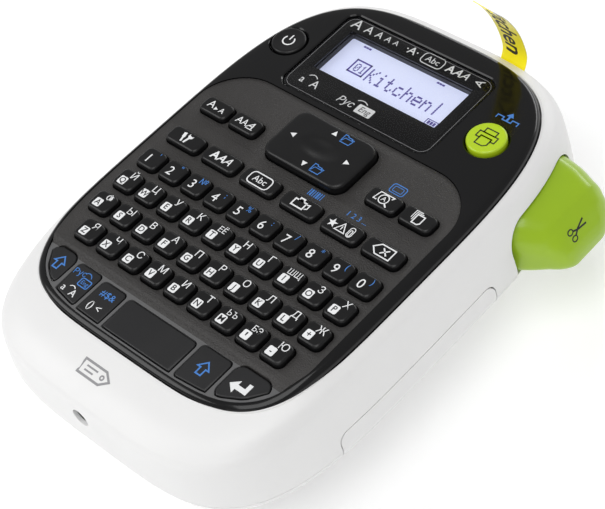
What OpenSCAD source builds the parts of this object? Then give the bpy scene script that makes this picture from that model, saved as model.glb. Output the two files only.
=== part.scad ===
// Handheld label maker: keyboard, display, tape printer and cutter in one case.
// Origin: centre of the flat base. +X to the cutter lever, +Y to the display end, +Z up.

/* [Case] */
// Half of the case's width at its widest level
case_half_w = 55.1; // [54.8:0.1:55.6]
// Height of the widest level above the base
case_widest_z = 27; // [26.5:0.1:27.5]
// Height of the key tops above the base
key_top_z = 50; // [50:0.1:50.4]
// Thickness of the case wall
case_wall = 2.2; // [2:0.1:2.4]
// Gap between neighbouring mouldings
seam_gap = 0.3; // [0.25:0.05:0.4]

/* [Keys] */
// Distance between neighbouring key centres in a row
key_pitch = 8.6; // [8.4:0.1:8.8]
// Size of a letter key across the row
key_w = 7.3; // [6.8:0.1:7.4]
// Size of a letter key along the case
key_d = 6.6; // [6:0.1:6.8]
// Clearance round a key in its hole
key_gap = 0.35; // [0.3:0.05:0.4]

/* [Cutter lever] */
// Radius of the lever's steel pin
lever_pin_r = 1.6; // [1.5:0.05:1.8]
// Radial running clearance of a steel pin or shaft
running_gap = 0.05; // [0.02:0.01:0.08]

/* [Print mechanism] */
// Gear tooth module
gear_module = 0.5; // [0.5:0.5:0.5]
// Radius of the rubber platen
platen_r = 4; // [3.8:0.1:4.1]
// Width of the label tape
tape_w = 8.4; // [8:0.1:9]
// Thickness of the label tape
tape_t = 0.4; // [0.3:0.05:0.45]

/* [Power] */
// Radius of a battery cell
cell_r = 7.2; // [7:0.05:7.25]
// Length of a battery cell
cell_len = 50.4; // [49:0.1:50.5]
// Radius of the power socket's mouth
socket_r = 2.1; // [2.05:0.05:2.2]

/* [Hidden] */
$fn = 48;

// Outline exponents, display end then front: the larger, the squarer the corners
case_n = [3.7, 4.1];
panel_n = [3.64, 4.6];
// Levels of the case: height, half width, display end, front end
levels = [
    [0, 33, 60, -60],
    [3, 37.6, 64, -64.2],
    [9, 42.2, 67.5, -67.3],
    [17, 47.9, 71.5, -71.4],
    [case_widest_z, case_half_w, 75.9, -76.5],
    [41, 52.2, 75.9, -75.9],
    [44.4, 50.6, 74, -69.5],
    [46.4, 48.6, 71.2, -60.6]];
seam_z = 26.5;
cover_top_z = 32;
cover_side = [-41, 17.5];
cover_x = 44.4;
cover_y = [-59.5, 62];
bay_x = 45;
bay_y = [-60.2, 62.8];
bay_wall = 1.6;
tray_z = 32;

// Front panel: half width, display end, front end
panel = [47.9, 70.5, -59.9];
panel_z = 48.6;
deck_z = 48.4;
deck_t = 2.2;
step_y = -43.4;
step_drop = 1.1;
// Key field: centre and size before the panel's own curve trims it
deck_at = [-0.75, -15.4];
deck_size = [91.1, 89.2];
deck_r = 15;
rim_w = 1.7;
row_y = [-10.5, -19.7, -29, -38];
function_y = 0;
edit_y = 13.2;
window_at = [-3.9, 47];
window_size = [53.4, 32];
lcd_at = [-4, 49.1];
lcd_size = [44, 16.4];
power_at = [-38.5, 44.3];
print_at = [33, 44.5];
nav_at = [-1, 16.8];

// Function keys: centre x, width
function_keys = [[-35.8, 12], [-21.9, 12.2], [-7.4, 12.2], [7.4, 12.2], [21.9, 12.2], [35.8, 12]];
edit_keys = [[-36.7, 10], [-25.5, 10], [24.6, 10.2], [36, 10.2]];
key_flange = 0.45;
// Bottom row keys: left, right, front, back, radius
bottom_keys = [
    [-39.8, -31.4, -55.6, -44.9, 2.6], [-29.8, -21.4, -57.2, -46, 1.2],
    [-19.8, -11.4, -58, -46.6, 1.2], [-9.8, 14.8, -58.2, -46.9, 1.2],
    [16.4, 26.6, -57.2, -46, 1.2], [28.2, 39.8, -55.6, -44.9, 2.6]];

// Mechanism: x of the gear plane, and shaft centres as [y, z]
chassis_x = [2.6, 27.2];
plate_t = 1.6;
chassis_z = [9, 39.6];
cartridge_x = [6, 26];
cartridge_y = [6, 56];
cartridge_z = [3.2, 36];
tape_x = 18;
platen_teeth = 24;
idler_big = 40;
idler_small = 16;
pinion_teeth = 12;
takeup_teeth = 32;
// Shaft centres: each gear stands at its mesh distance, in a chosen direction
function mesh_at(at, n1, n2, a) =
    let (d = gear_module * (n1 + n2) / 2) [at[0] + d * cos(a), at[1] + d * sin(a)];
platen_at = [60.6, 30.3];
idler_at = mesh_at(platen_at, platen_teeth, idler_small, 205.8);
pinion_at = mesh_at(idler_at, idler_big, pinion_teeth, 162.8);
takeup_at = mesh_at(idler_at, idler_small, takeup_teeth, 252.5);
tape_spool_at = [23.6, 19.6];
supply_at = [43, 27.4];
mesh_x = -4.2;
gear_t = 2.4;
bracket_x = [-9.2, -7.6];

// Tape run at 45 degrees up to the exit slot, past the cut line
bend_at = [61.8, 34.6];
cut_at = [68.6, 38.9];
exit_at = [74, 44.3];

lever_at = [43, 56];
lever_hub_z = [29.2, 37.4];
lever_hub_r = 3;
lever_arm = [6.5, 2.4, 4];
// Lever sections along X: x, low y, high y, low z, high z, corner radius
lever_sections = [
    [46.4, 27.2, 60.2, 22.7, 40.1, 7], [51, 28.2, 60, 22.7, 39.5, 7.4], [57.6, 32.4, 58.9, 22.7, 36.8, 7.1],
    [60.6, 34.4, 57.5, 22.7, 33.6, 5.4], [62.8, 36, 54.8, 23.0, 30.2, 3.6], [64.2, 39, 50.5, 24.0, 27, 1.5]
];
screw_at = [[-36.6, 65.2], [36.6, 65.2], [-38, -65.2], [38, -65.2]];
screw_head_r = 2;
screw_z = [26, 28, 39];
// Power socket: centre as [x, z], and where its face stands behind the front wall
jack_at = [-2, 36];
jack_face = -73.4;
jack_r = 3.4;
jack_nose_r = 2.6;
jack_nose_face = -75.4;
nav_pivot_z = 46.4;

// Closed curve of 64 points that bulges like a rounded box
function bulge(c, n) = sign(c) * pow(abs(c), 2 / n);
function outline(hw, yb, yf, n, count = 64) = [for (i = [0 : count - 1])
    let (a = 360 * (i + 0.5) / count, back = sin(a) > 0, k = back ? n[0] : n[1])
    [hw * bulge(cos(a), k), (back ? yb : -yf) * bulge(sin(a), k)]];

// Solid through the case's levels, pulled in by inset all round
module body_solid(inset, low, high) {
    hull() for (l = levels)
        translate([0, 0, l[0] == 0 ? low : l[0] == 46.4 ? high : l[0]])
            linear_extrude(0.01) polygon(outline(l[1] - inset, l[2] - inset, l[3] + inset, case_n));
}

module case_wall_solid() {
    difference() {
        body_solid(0, 0, 46.4);
        body_solid(case_wall, case_wall, 46.8);
    }
}

module block(x, y, z) {
    translate([x[0], y[0], z[0]]) cube([x[1] - x[0], y[1] - y[0], z[1] - z[0]]);
}

// Rounded rectangle by its centre
module rounded(w, d, r) {
    square([w - 2 * r, d], center = true);
    square([w, d - 2 * r], center = true);
    for (x = [-1, 1], y = [-1, 1]) translate([x * (w / 2 - r), y * (d / 2 - r)]) circle(r, $fn = 24);
}

module rounded_block(at, w, d, r, z) {
    translate([at[0], at[1], z[0]]) linear_extrude(z[1] - z[0]) rounded(w, d, r);
}

// Cylinder along +X from x[0] to x[1], at [y, z]
module rod(at, r, x) {
    translate([x[0], at[0], at[1]]) rotate([0, 90, 0]) cylinder(r = r, h = x[1] - x[0]);
}

module panel_shape(inset) {
    polygon(outline(panel[0] - inset, panel[1] - inset, panel[2] + inset, panel_n));
}

module panel_outline(inset, z) {
    translate([0, 0, z[0]]) linear_extrude(z[1] - z[0]) panel_shape(inset);
}

// Space that the removable rear cover takes, grown by gap
module cover_space(gap) {
    block([-cover_x - gap, cover_x + gap], [cover_y[0] - gap, cover_y[1] + gap], [-1, seam_z + gap]);
    difference() {
        block([-60, 60], [cover_side[0] - gap, cover_side[1] + gap], [-1, cover_top_z + gap]);
        block([-bay_x - bay_wall, bay_x + bay_wall], [-80, 80], [18, 60]);
    }
}

// Window in the right wall where the lever swings
module lever_window() {
    l = lever_sections[0];
    translate([lever_at[0] + 1, (l[1] + l[2]) / 2, (l[3] + l[4]) / 2]) rotate([90, 0, 90])
        linear_extrude(20) rounded(l[2] - l[1] + 1.2, l[4] - l[3] + 1, l[5] + 0.5);
}

// Slot along the tape's 45 degree run
module tape_slot(half_w, half_t, reach) {
    translate([tape_x, exit_at[0], exit_at[1]]) rotate([45, 0, 0])
        cube([2 * half_w, 2 * reach, 2 * half_t], center = true);
}

module at_screws() {
    for (p = screw_at) translate([p[0], p[1], 0]) children();
}

// ---- case ----
module top_case() {
    color("white") difference() {
        union() {
            intersection() {
                case_wall_solid();
                block([-70, 70], [-90, 90], [seam_z, 60]);
            }
            // ledge that carries the front panel
            difference() {
                panel_outline(-1.2, [41.6, 43.4]);
                panel_outline(2.4, [41, 44]);
            }
            // screw bosses and the lever pin's boss
            intersection() {
                at_screws() translate([0, 0, 30]) cylinder(r = 2.8, h = 12);
                body_solid(0.6, 0.6, 46);
            }
            translate([lever_at[0], lever_at[1], 38.6]) cylinder(r = 3.2, h = 4);
        }
        panel_outline(-0.2, [43.4, 60]);
        cover_space(seam_gap);
        lever_window();
        translate([lever_at[0], lever_at[1], 26]) cylinder(r = lever_hub_r + 0.5, h = 12.2);
        tape_slot(tape_w / 2 + 1, 0.9, 6);
        at_screws() cylinder(r = 1.3, h = screw_z[2]);
        translate([lever_at[0], lever_at[1], 0]) cylinder(r = lever_pin_r, h = 40);
        jack_hole();
    }
}

module bottom_case() {
    color("whitesmoke") difference() {
        union() {
            intersection() {
                case_wall_solid();
                block([-70, 70], [-90, 90], [-1, seam_z - 0.1]);
            }
            // walls of the battery and cartridge bay, and the screw seats
            intersection() {
                union() {
                    difference() {
                        block([-bay_x - bay_wall, bay_x + bay_wall],
                            [bay_y[0] - bay_wall, bay_y[1] + bay_wall], [0, tray_z + bay_wall]);
                        block([-bay_x, bay_x], bay_y, [-1, tray_z]);
                        block([-bay_x, bay_x], [3.6, bay_y[1] + 2], [20, 60]);
                        block([-bay_x, bay_x], [3.6, bay_y[1]], [-1, 60]);
                        block([36, 60], [21, 61.4], [-1, 60]);
                    }
                    at_screws() translate([0, 0, 6]) cylinder(r = 3.6, h = 23.9);
                }
                union() {
                    intersection() {
                        body_solid(0.6, 0.6, 46);
                        block([-70, 70], [-90, 90], [-1, seam_z - 0.1]);
                    }
                    body_solid(case_wall + seam_gap, case_wall, 46);
                }
            }
        }
        cover_space(seam_gap);
        block([-60, 60], [cover_side[0] - 0.6, cover_side[1] + 0.6], [-1, 20.6]);
        lever_window();
        at_screws() cylinder(r = screw_head_r + 0.2, h = screw_z[1]);
        at_screws() cylinder(r = 1.5, h = 40);
    }
}

module rear_cover() {
    color("white") intersection() {
        case_wall_solid();
        union() {
            block([-cover_x, cover_x], cover_y, [-1, seam_z - seam_gap]);
            block([-60, 60], cover_side, [-1, cover_top_z]);
        }
    }
}

module case_screws() {
    color("silver") at_screws() {
        translate([0, 0, screw_z[0]]) cylinder(r = screw_head_r, h = screw_z[1] - screw_z[0], $fn = 24);
        translate([0, 0, screw_z[1]]) cylinder(r = 1.3, h = screw_z[2] - screw_z[1], $fn = 24);
    }
}

// ---- front panel ----
module deck_shape(inset) {
    intersection() {
        translate(deck_at) rounded(deck_size[0] - 2 * inset, deck_size[1] - 2 * inset, deck_r - inset);
        panel_shape(rim_w + inset);
    }
}

// Space above the lowered strip that holds the bottom row
module front_step() {
    low = deck_z - step_drop;
    translate([-60, 0, 0]) rotate([90, 0, 90]) linear_extrude(120) polygon([
        [step_y, 60], [step_y, deck_z + 0.2], [step_y - 2.2, low], [-80, low], [-80, 60]]);
}

module display_recess(grow) {
    rounded_block(window_at, window_size[0] + grow, window_size[1] + grow, 3.5, [47.4, 60]);
}

module button_hole(at, r) {
    translate([at[0], at[1], 30]) cylinder(r = r, h = 30);
}

module front_bezel() {
    color([0.04, 0.04, 0.045]) difference() {
        hull() {
            panel_outline(0, [43.5, 46.6]);
            panel_outline(0.5, [46.6, 47.8]);
            panel_outline(1.6, [47.8, panel_z]);
        }
        panel_outline(1.5, [43, 45.4]);
        translate([0, 0, 40]) linear_extrude(20) deck_shape(0.4);
        translate([0, 0, deck_z - deck_t]) linear_extrude(20) deck_shape(0);
        front_step();
        display_recess(0);
        rounded_block(lcd_at, lcd_size[0] + 4, lcd_size[1] + 4, 1.5, [40, 60]);
        button_hole(power_at, 5.5);
        button_hole(print_at, 5.9);
    }
}

module small_key(at, w, d, r, z_top) {
    low = deck_z - deck_t;
    rounded_block(at, w, d, r, [low - 0.2, z_top - 0.5]);
    rounded_block(at, w - 0.7, d - 0.7, r - 0.3, [z_top - 0.5, z_top]);
    rounded_block(at, w + 2 * key_flange, d + 2 * key_flange, r, [low - 0.8, low - 0.2]);
}

module key_hole(at, w, d, r) {
    rounded_block(at, w + 2 * key_gap, d + 2 * key_gap, r + key_gap, [40, 60]);
}

// Flush key of the bottom row, trimmed by the panel's curve and grown by gap
module bottom_key(k, gap, z) {
    translate([0, 0, z[0]]) linear_extrude(z[1] - z[0]) intersection() {
        translate([(k[0] + k[1]) / 2, (k[2] + k[3]) / 2])
            rounded(k[1] - k[0] + 2 * gap, k[3] - k[2] + 2 * gap, k[4] + gap);
        panel_shape(rim_w + 1 - gap);
    }
}

module key_deck() {
    color([0.2, 0.19, 0.19]) difference() {
        translate([0, 0, deck_z - deck_t]) linear_extrude(deck_t) deck_shape(0.1);
        front_step();
        for (x = [0 : 9], y = [0 : 2]) key_hole([(x - 4.5) * key_pitch, row_y[y]], key_w, key_d, 1.6);
        for (x = [0 : 8]) key_hole([(x - 4) * key_pitch, row_y[3]], key_w, key_d, 1.6);
        for (k = function_keys) key_hole([k[0], function_y], k[1], 5.6, 1.6);
        for (k = edit_keys) key_hole([k[0], edit_y], k[1], 5.6, 1.6);
        for (k = bottom_keys) bottom_key(k, key_gap, [40, 60]);
        rounded_block(nav_at, 29, 18.6, 4, [40, 60]);
    }
}

module display_window() {
    color([0.6, 0.7, 0.75])
        rounded_block(window_at, window_size[0] - 0.4, window_size[1] - 0.4, 3.3, [47.4, 48.3]);
}

module lcd_frame() {
    color([0.1, 0.1, 0.1]) difference() {
        rounded_block(lcd_at, lcd_size[0] + 3.6, lcd_size[1] + 3.6, 1.3, [43.6, 46.8]);
        rounded_block(lcd_at, lcd_size[0], lcd_size[1], 0.6, [45.2, 48]);
        rounded_block(lcd_at, lcd_size[0] + 1.4, lcd_size[1] + 1.4, 0.6, [43, 45.2]);
    }
}

module lcd_panel() {
    color([0.75, 0.78, 0.95])
        rounded_block(lcd_at, lcd_size[0] + 1.2, lcd_size[1] + 1.2, 0.5, [44, 45.15]);
}

module lcd_backlight() {
    color("white") rounded_block(lcd_at, lcd_size[0] + 1.2, lcd_size[1] + 1.2, 0.5, [43.2, 43.95]);
}

module keypad_mat() {
    color([0.35, 0.35, 0.37]) rounded_block([0, -17.4], 82, 78, 16, [43.5, 44.3]);
}

module main_board() {
    color("darkgreen") difference() {
        rounded_block([0, -3], 80, 104, 14, [40.6, 42.2]);
        block([8, 50], [24, 60], [40, 43]);
    }
}

// ---- power ----
cell_at = [-6.5, 24.3];
contact_size = 8;
module battery_cells() {
    color("dimgray") for (i = [0 : 5]) translate([(i - 2.5) * (2 * cell_r + 0.1), cell_at[0], cell_at[1]])
        rotate([90, 0, 0]) {
            cylinder(r = cell_r, h = cell_len - 1.5);
            translate([0, 0, i % 2 == 0 ? cell_len - 1.5 : -1.2]) cylinder(r = 2.6, h = 1.2);
        }
}

module battery_contacts() {
    color("silver") for (i = [0 : 5]) translate([(i - 2.5) * (2 * cell_r + 0.1), cell_at[0], cell_at[1]])
        for (y = [1.4, -cell_len - 1.2])
            translate([-contact_size / 2, y, -contact_size / 2]) cube([contact_size, 0.4, contact_size]);
}

// Cylinder along -Y from y[0] to y[1]
module jack_hole() {
    translate([jack_at[0], -70, jack_at[1]]) rotate([90, 0, 0])
        cylinder(r = jack_nose_r + 0.1, h = 12);
}

module socket_rod(r, y) {
    translate([0, y[0], 0]) rotate([90, 0, 0]) cylinder(r = r, h = y[0] - y[1]);
}

module dc_jack() {
    color([0.08, 0.08, 0.08]) translate([jack_at[0], 0, jack_at[1]]) difference() {
        union() {
            socket_rod(jack_r, [-62, jack_face]);
            socket_rod(jack_nose_r, [jack_face + 1, jack_nose_face]);
            translate([-4.4, -68, -2.1]) cube([8.8, 10, 5.9]);
        }
        socket_rod(socket_r, [-63.5, jack_nose_face - 1]);
        socket_rod(socket_r + 0.5, [-63.5, jack_nose_face + 4]);
    }
    color("gold") translate([jack_at[0], 0, jack_at[1]])
        socket_rod(0.75, [-63, jack_nose_face + 4.4], $fn = 24);
}

// ---- gears ----
module gear_outline(teeth, turn) {
    pitch = 360 / teeth;
    rp = gear_module * teeth / 2;
    root = rp - 1.15 * gear_module;
    tip = rp + 0.85 * gear_module;
    circle(root + 0.02);
    for (i = [0 : teeth - 1]) rotate(i * pitch + turn) polygon([
        [root - 0.2, -root * PI / teeth * 0.56], [root - 0.2, root * PI / teeth * 0.56],
        [rp, rp * PI / teeth * 0.42], [tip, tip * PI / teeth * 0.2],
        [tip, -tip * PI / teeth * 0.2], [rp, -rp * PI / teeth * 0.42]]);
}

// Gear in the Y-Z plane at [y, z], with its tooth angle measured from +Y towards +Z
module gear(at, teeth, turn, x, bore) {
    translate([x[0], at[0], at[1]]) rotate([90, 0, 90]) linear_extrude(x[1] - x[0])
        difference() {
            gear_outline(teeth, turn);
            if (bore > 0) circle(bore);
        }
}

function line_angle(a, b) = atan2(b[1] - a[1], b[0] - a[0]);
// Turn that puts a gap of the second gear against a tooth of the first at turn t
function meshed(t, n1, n2, a, b) =
    let (f = line_angle(a, b)) f + 180 - 180 / n2 + (f - t) * n1 / n2;

idler_turn = 0;
platen_turn = meshed(idler_turn, idler_small, platen_teeth, idler_at, platen_at);
pinion_turn = meshed(idler_turn, idler_big, pinion_teeth, idler_at, pinion_at);
takeup_turn = meshed(idler_turn, idler_small, takeup_teeth, idler_at, takeup_at);

module idler_gear() {
    color("ivory") {
        gear(idler_at, idler_small, idler_turn, [mesh_x, mesh_x + gear_t], 1.5 + running_gap);
        gear(idler_at, idler_big, idler_turn, [mesh_x - gear_t, mesh_x], 1.5 + running_gap);
    }
}

module motor_pinion() {
    color("goldenrod") union() {
        gear(pinion_at, pinion_teeth, pinion_turn, [mesh_x - gear_t - 0.4, mesh_x - 0.3], 0);
        rod(pinion_at, 1, [bracket_x[0] - 4, mesh_x - 0.3]);
    }
}

module takeup_gear() {
    color("ivory") union() {
        gear(takeup_at, takeup_teeth, takeup_turn, [mesh_x + 0.2, mesh_x + gear_t], 0);
        rod(takeup_at, 3, [mesh_x + 0.2, mesh_x + gear_t + 1]);
    }
}

module takeup_spool() {
    color("slategray") {
        rod(takeup_at, 1.5, [mesh_x + gear_t + 1, 24.4]);
        rod(takeup_at, 4.2, [cartridge_x[0] + 2.4, 23.6]);
    }
}

module platen_shaft() {
    color("silver") {
        rod(platen_at, 1.5, [mesh_x, chassis_x[1] + plate_t + 1]);
        gear(platen_at, platen_teeth, platen_turn, [mesh_x + 0.2, mesh_x + gear_t], 0);
    }
}

module platen_roller() {
    color([0.12, 0.12, 0.12]) difference() {
        rod(platen_at, platen_r, [11.6, 24.4]);
        rod(platen_at, 1.5, [11, 25]);
    }
}

module drive_motor() {
    color("silver") difference() {
        rod(pinion_at, 7.4, [-38, bracket_x[0]]);
        rod(pinion_at, 1 + running_gap, [bracket_x[0] - 4.4, 0]);
    }
}

module print_chassis() {
    color("gray") difference() {
        union() {
            for (x = chassis_x) {
                block([x, x + plate_t], [5, 56], chassis_z);
                block([x, x + plate_t], [50, 64.5], [22, chassis_z[1]]);
            }
            block([-30, chassis_x[0]], [5, 54], [chassis_z[0], chassis_z[0] + 1.4]);
            block(bracket_x, [30, 54], chassis_z);
            rod(idler_at, 1.5, [bracket_x[1] - 0.2, chassis_x[0] + 0.2]);
            block([chassis_x[0], chassis_x[1] + plate_t], [4.6, 5.6], chassis_z);
        }
        rod(platen_at, 1.5 + running_gap, [-10, 40]);
        rod(takeup_at, 1.5 + running_gap, [0, 10]);
        rod(pinion_at, 2.2, [-20, -4]);
        block([mesh_x - 3, 0], [30, 60], [0, chassis_z[0] + 2]);
    }
}

module tape_cartridge() {
    color([0.55, 0.56, 0.58]) difference() {
        block(cartridge_x, cartridge_y, cartridge_z);
        block([cartridge_x[0] + 1.2, cartridge_x[1] - 1.2], [cartridge_y[0] + 1.2, cartridge_y[1] - 1.2],
            [cartridge_z[0] + 1.2, cartridge_z[1] - 1.2]);
        // mouth where the tape leaves
        block([12.4, 23.6], [50, 60], [33.2, 35.4]);
        rod(takeup_at, 1.5 + running_gap, [0, 8]);
        rod(tape_spool_at, 2.5 + running_gap, [cartridge_x[0] - 1, cartridge_x[1] + 1]);
        rod(supply_at, 2 + running_gap, [cartridge_x[0] - 1, cartridge_x[1] + 1]);
    }
}

module tape_spool() {
    color([0.93, 0.85, 0.1]) {
        rod(tape_spool_at, 14, [13.4, 22.6]);
        rod(tape_spool_at, 2.5, [cartridge_x[0] + 0.2, cartridge_x[1] - 0.2]);
    }
}

module supply_spool() {
    color("slategray") {
        rod(supply_at, 4.6, [13.4, 22.6]);
        rod(supply_at, 2, [cartridge_x[0] + 0.2, cartridge_x[1] - 0.2]);
    }
}

module print_head() {
    color("burlywood") block([11.6, 24.4], [57, 63], [35.1, 36.1]);
}

module head_bracket() {
    color("silver") block([4.4, 27], [57, 63.6], [36.1, 37.5]);
}

// Band of the tape's thickness along a list of [y, z, angle] points
module tape_band(path) {
    h = tape_t / 2;
    translate([tape_x - tape_w / 2, 0, 0]) rotate([90, 0, 90]) linear_extrude(tape_w) polygon(concat(
        [for (p = path) [p[0] - h * sin(p[2]), p[1] + h * cos(p[2])]],
        [for (i = [len(path) - 1 : -1 : 0])
            let (p = path[i]) [p[0] + h * sin(p[2]), p[1] - h * cos(p[2])]]));
}

// Arc of radius r that starts at [y, z] heading a0 and ends heading a1
function arc(at, r, a0, a1, steps) = [for (i = [0 : steps]) let (a = a0 + (a1 - a0) * i / steps)
    [at[0] + r * (sin(a) - sin(a0)), at[1] + r * (cos(a0) - cos(a)), a]];
function last(path) = path[len(path) - 1];

bend_r = 6;
feed_path = concat([[54, bend_at[1], 0]], arc(bend_at, bend_r, 0, 45, 6),
    [[cut_at[0] - 0.9, cut_at[0] - 0.9 + bend_at[1] - bend_at[0] + bend_r * (1 - sqrt(2)), 45]]);
out_start = [cut_at[0] + 0.5, cut_at[0] + 0.5 + exit_at[1] - exit_at[0]];
curl_a = arc([73.4, 73.4 + exit_at[1] - exit_at[0]], 6.4, 45, 97, 8);
curl_b = arc([last(curl_a)[0], last(curl_a)[1]], 44, 97, 131, 12);

module feed_tape() { color([0.96, 0.9, 0.1]) tape_band(feed_path); }
module label_tape() {
    color([0.96, 0.9, 0.1]) tape_band(concat([[out_start[0], out_start[1], 45]], curl_a,
        [for (i = [1 : len(curl_b) - 1]) curl_b[i]]));
}

// ---- cutter ----
module lever_section(l) {
    translate([l[0], (l[1] + l[2]) / 2, (l[3] + l[4]) / 2]) rotate([90, 0, 90])
        linear_extrude(0.01) rounded(l[2] - l[1], l[4] - l[3], l[5]);
}

module cut_lever() {
    pad = lever_sections[0];
    color([0.62, 0.8, 0.12]) difference() {
        union() {
            hull() for (l = lever_sections) lever_section(l);
            translate([lever_at[0], lever_at[1], lever_hub_z[0]])
                cylinder(r = lever_hub_r, h = lever_hub_z[1] - lever_hub_z[0]);
            block([lever_at[0], pad[0] + 1], [lever_at[1] - 2.2, lever_at[1] + 2.2], lever_hub_z);
            translate([lever_at[0], lever_at[1], lever_hub_z[0] + 1.2]) rotate([0, 0, 149])
                translate([0, -lever_arm[1] / 2, 0]) cube(lever_arm);
        }
        translate([lever_at[0], lever_at[1], 0]) cylinder(r = lever_pin_r + running_gap, h = 60);
        // hollow behind the pad
        block([pad[0] - 1, pad[0] + 9], [pad[1] + 3, 50], [pad[3] + 3, pad[4] - 3]);
    }
}

module lever_pin() {
    color("silver") translate([lever_at[0], lever_at[1], 25.6]) cylinder(r = lever_pin_r, h = 14.4);
}

module lever_spring() {
    color("silver") for (i = [0 : 1]) translate([lever_at[0], lever_at[1], 26.8 + 1.2 * i])
        rotate_extrude() translate([2.2, 0]) circle(0.4, $fn = 16);
}

module at_cut_line() {
    translate([tape_x, cut_at[0], cut_at[1]]) rotate([45, 0, 0]) children();
}

module cutter_blade() {
    color("silver") at_cut_line() translate([-5.4, -0.35, -5.2]) cube([10.8, 0.7, 4.2]);
}

module fixed_blade() {
    color("silver") at_cut_line() difference() {
        translate([-6.6, -1.4, 0.7]) cube([13.2, 2.8, 1.5]);
        translate([-5.8, -0.7, 0]) cube([11.6, 1.4, 8]);
    }
}

// ---- keys and buttons ----
module round_button(at, r, z_top) {
    translate([at[0], at[1], 0]) {
        translate([0, 0, 44.6]) cylinder(r = r, h = z_top - 0.5 - 44.6);
        translate([0, 0, z_top - 0.5]) cylinder(r1 = r, r2 = r - 0.8, h = 0.5);
    }
}

module power_button() { color([0.05, 0.05, 0.05]) round_button(power_at, 5.1, 49); }
module print_button() { color([0.72, 0.85, 0.1]) round_button(print_at, 5.5, 49.8); }

module nav_pad() {
    color([0.05, 0.05, 0.05]) difference() {
        union() {
            rounded_block(nav_at, 28.2, 17.8, 3.6, [45.6, 50.2]);
            rounded_block(nav_at, 27, 16.6, 3, [50.2, 50.9]);
        }
        translate([nav_at[0], nav_at[1], 58.6]) scale([1, 0.75, 1]) sphere(9.6);
        translate([nav_at[0], nav_at[1], nav_pivot_z]) sphere(1.9);
        translate([nav_at[0], nav_at[1], 45]) cylinder(r = 2.4, h = 0.9);
    }
}

module key_row(y, count, shift) {
    color([0.05, 0.05, 0.05]) for (x = [0 : count - 1])
        small_key([(x - shift) * key_pitch, y], key_w, key_d, 1.6, key_top_z);
}

module wide_key(k, y) {
    color([0.05, 0.05, 0.05]) small_key([k[0], y], k[1], 5.6, 1.6, key_top_z);
}

module flush_key(i) {
    color([0.07, 0.07, 0.07])
        bottom_key(bottom_keys[i], 0, [deck_z - deck_t - 0.6, deck_z - step_drop + 0.2]);
}

// Ball that the navigation pad rocks on
module nav_pivot() {
    color("gray") {
        translate([nav_at[0], nav_at[1], 44.6]) cylinder(r = 2, h = nav_pivot_z - 46);
        translate([nav_at[0], nav_at[1], nav_pivot_z]) sphere(1.8);
    }
}

module number_keys() { key_row(row_y[0], 10, 4.5); }
module upper_letter_keys() { key_row(row_y[1], 10, 4.5); }
module middle_letter_keys() { key_row(row_y[2], 10, 4.5); }
module lower_letter_keys() { key_row(row_y[3], 9, 4); }

top_case();
bottom_case();
rear_cover();
front_bezel();
key_deck();
display_window();
lcd_frame();
lcd_panel();
lcd_backlight();
keypad_mat();
main_board();
case_screws();
dc_jack();
battery_cells();
battery_contacts();
print_chassis();
drive_motor();
motor_pinion();
idler_gear();
platen_roller();
platen_shaft();
takeup_gear();
takeup_spool();
supply_spool();
tape_spool();
tape_cartridge();
print_head();
head_bracket();
feed_tape();
label_tape();
cut_lever();
lever_pin();
lever_spring();
cutter_blade();
fixed_blade();
power_button();
print_button();
nav_pad();
nav_pivot();
number_keys();
upper_letter_keys();
middle_letter_keys();
lower_letter_keys();
wide_key(function_keys[0], function_y);  // settings_key
wide_key(function_keys[1], function_y);  // style_key
wide_key(function_keys[2], function_y);  // frame_key
wide_key(function_keys[3], function_y);  // length_key
wide_key(function_keys[4], function_y);  // symbol_key
wide_key(function_keys[5], function_y);  // backspace_key
wide_key(edit_keys[0], edit_y);  // size_key
wide_key(edit_keys[1], edit_y);  // width_key
wide_key(edit_keys[2], edit_y);  // preview_key
wide_key(edit_keys[3], edit_y);  // copies_key
flush_key(0);  // left_shift_key
flush_key(1);  // language_key
flush_key(2);  // accent_key
flush_key(3);  // space_key
flush_key(4);  // right_shift_key
flush_key(5);  // enter_key
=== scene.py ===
# %% [markdown]
# # A handheld label maker
#
# The real object is a white two-part plastic case with a gloss black front panel, a grey key field,
# a small backlit display, a lime cutter lever and a strip of yellow label leaving the far end.
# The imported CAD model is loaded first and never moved. Every visible moulding is then rebuilt as a
# smoother mesh in exactly the same place, and rides on the CAD body it belongs to.

# %% Load the frame
import math
import bmesh
import bpy
import numpy as np
from mathutils import Matrix, Vector
from mathutils.bvhtree import BVHTree


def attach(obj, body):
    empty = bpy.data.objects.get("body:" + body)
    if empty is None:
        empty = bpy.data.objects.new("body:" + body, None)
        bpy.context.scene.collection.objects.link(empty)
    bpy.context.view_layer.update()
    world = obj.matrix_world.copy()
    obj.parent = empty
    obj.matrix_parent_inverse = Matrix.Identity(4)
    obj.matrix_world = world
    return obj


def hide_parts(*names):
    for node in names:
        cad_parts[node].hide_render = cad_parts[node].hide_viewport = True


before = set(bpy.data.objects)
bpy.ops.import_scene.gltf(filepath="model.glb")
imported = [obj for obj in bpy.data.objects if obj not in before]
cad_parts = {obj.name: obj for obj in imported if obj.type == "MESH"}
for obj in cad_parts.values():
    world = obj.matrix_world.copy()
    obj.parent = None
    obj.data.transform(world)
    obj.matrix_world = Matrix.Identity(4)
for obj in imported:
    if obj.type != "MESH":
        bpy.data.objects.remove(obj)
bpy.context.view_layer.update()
MM = 0.001

# %% [markdown]
# ## Camera, floor and light
#
# A product picture is taken with a long lens, so lines stay nearly parallel. The camera stands to the
# front right and is rolled, which makes the long case climb across the picture. The floor is one pale
# sheet; four area lights stand in for soft boxes, the longest of them low behind the far end,
# because that is what makes long soft highlights run along a polished rim.

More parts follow.
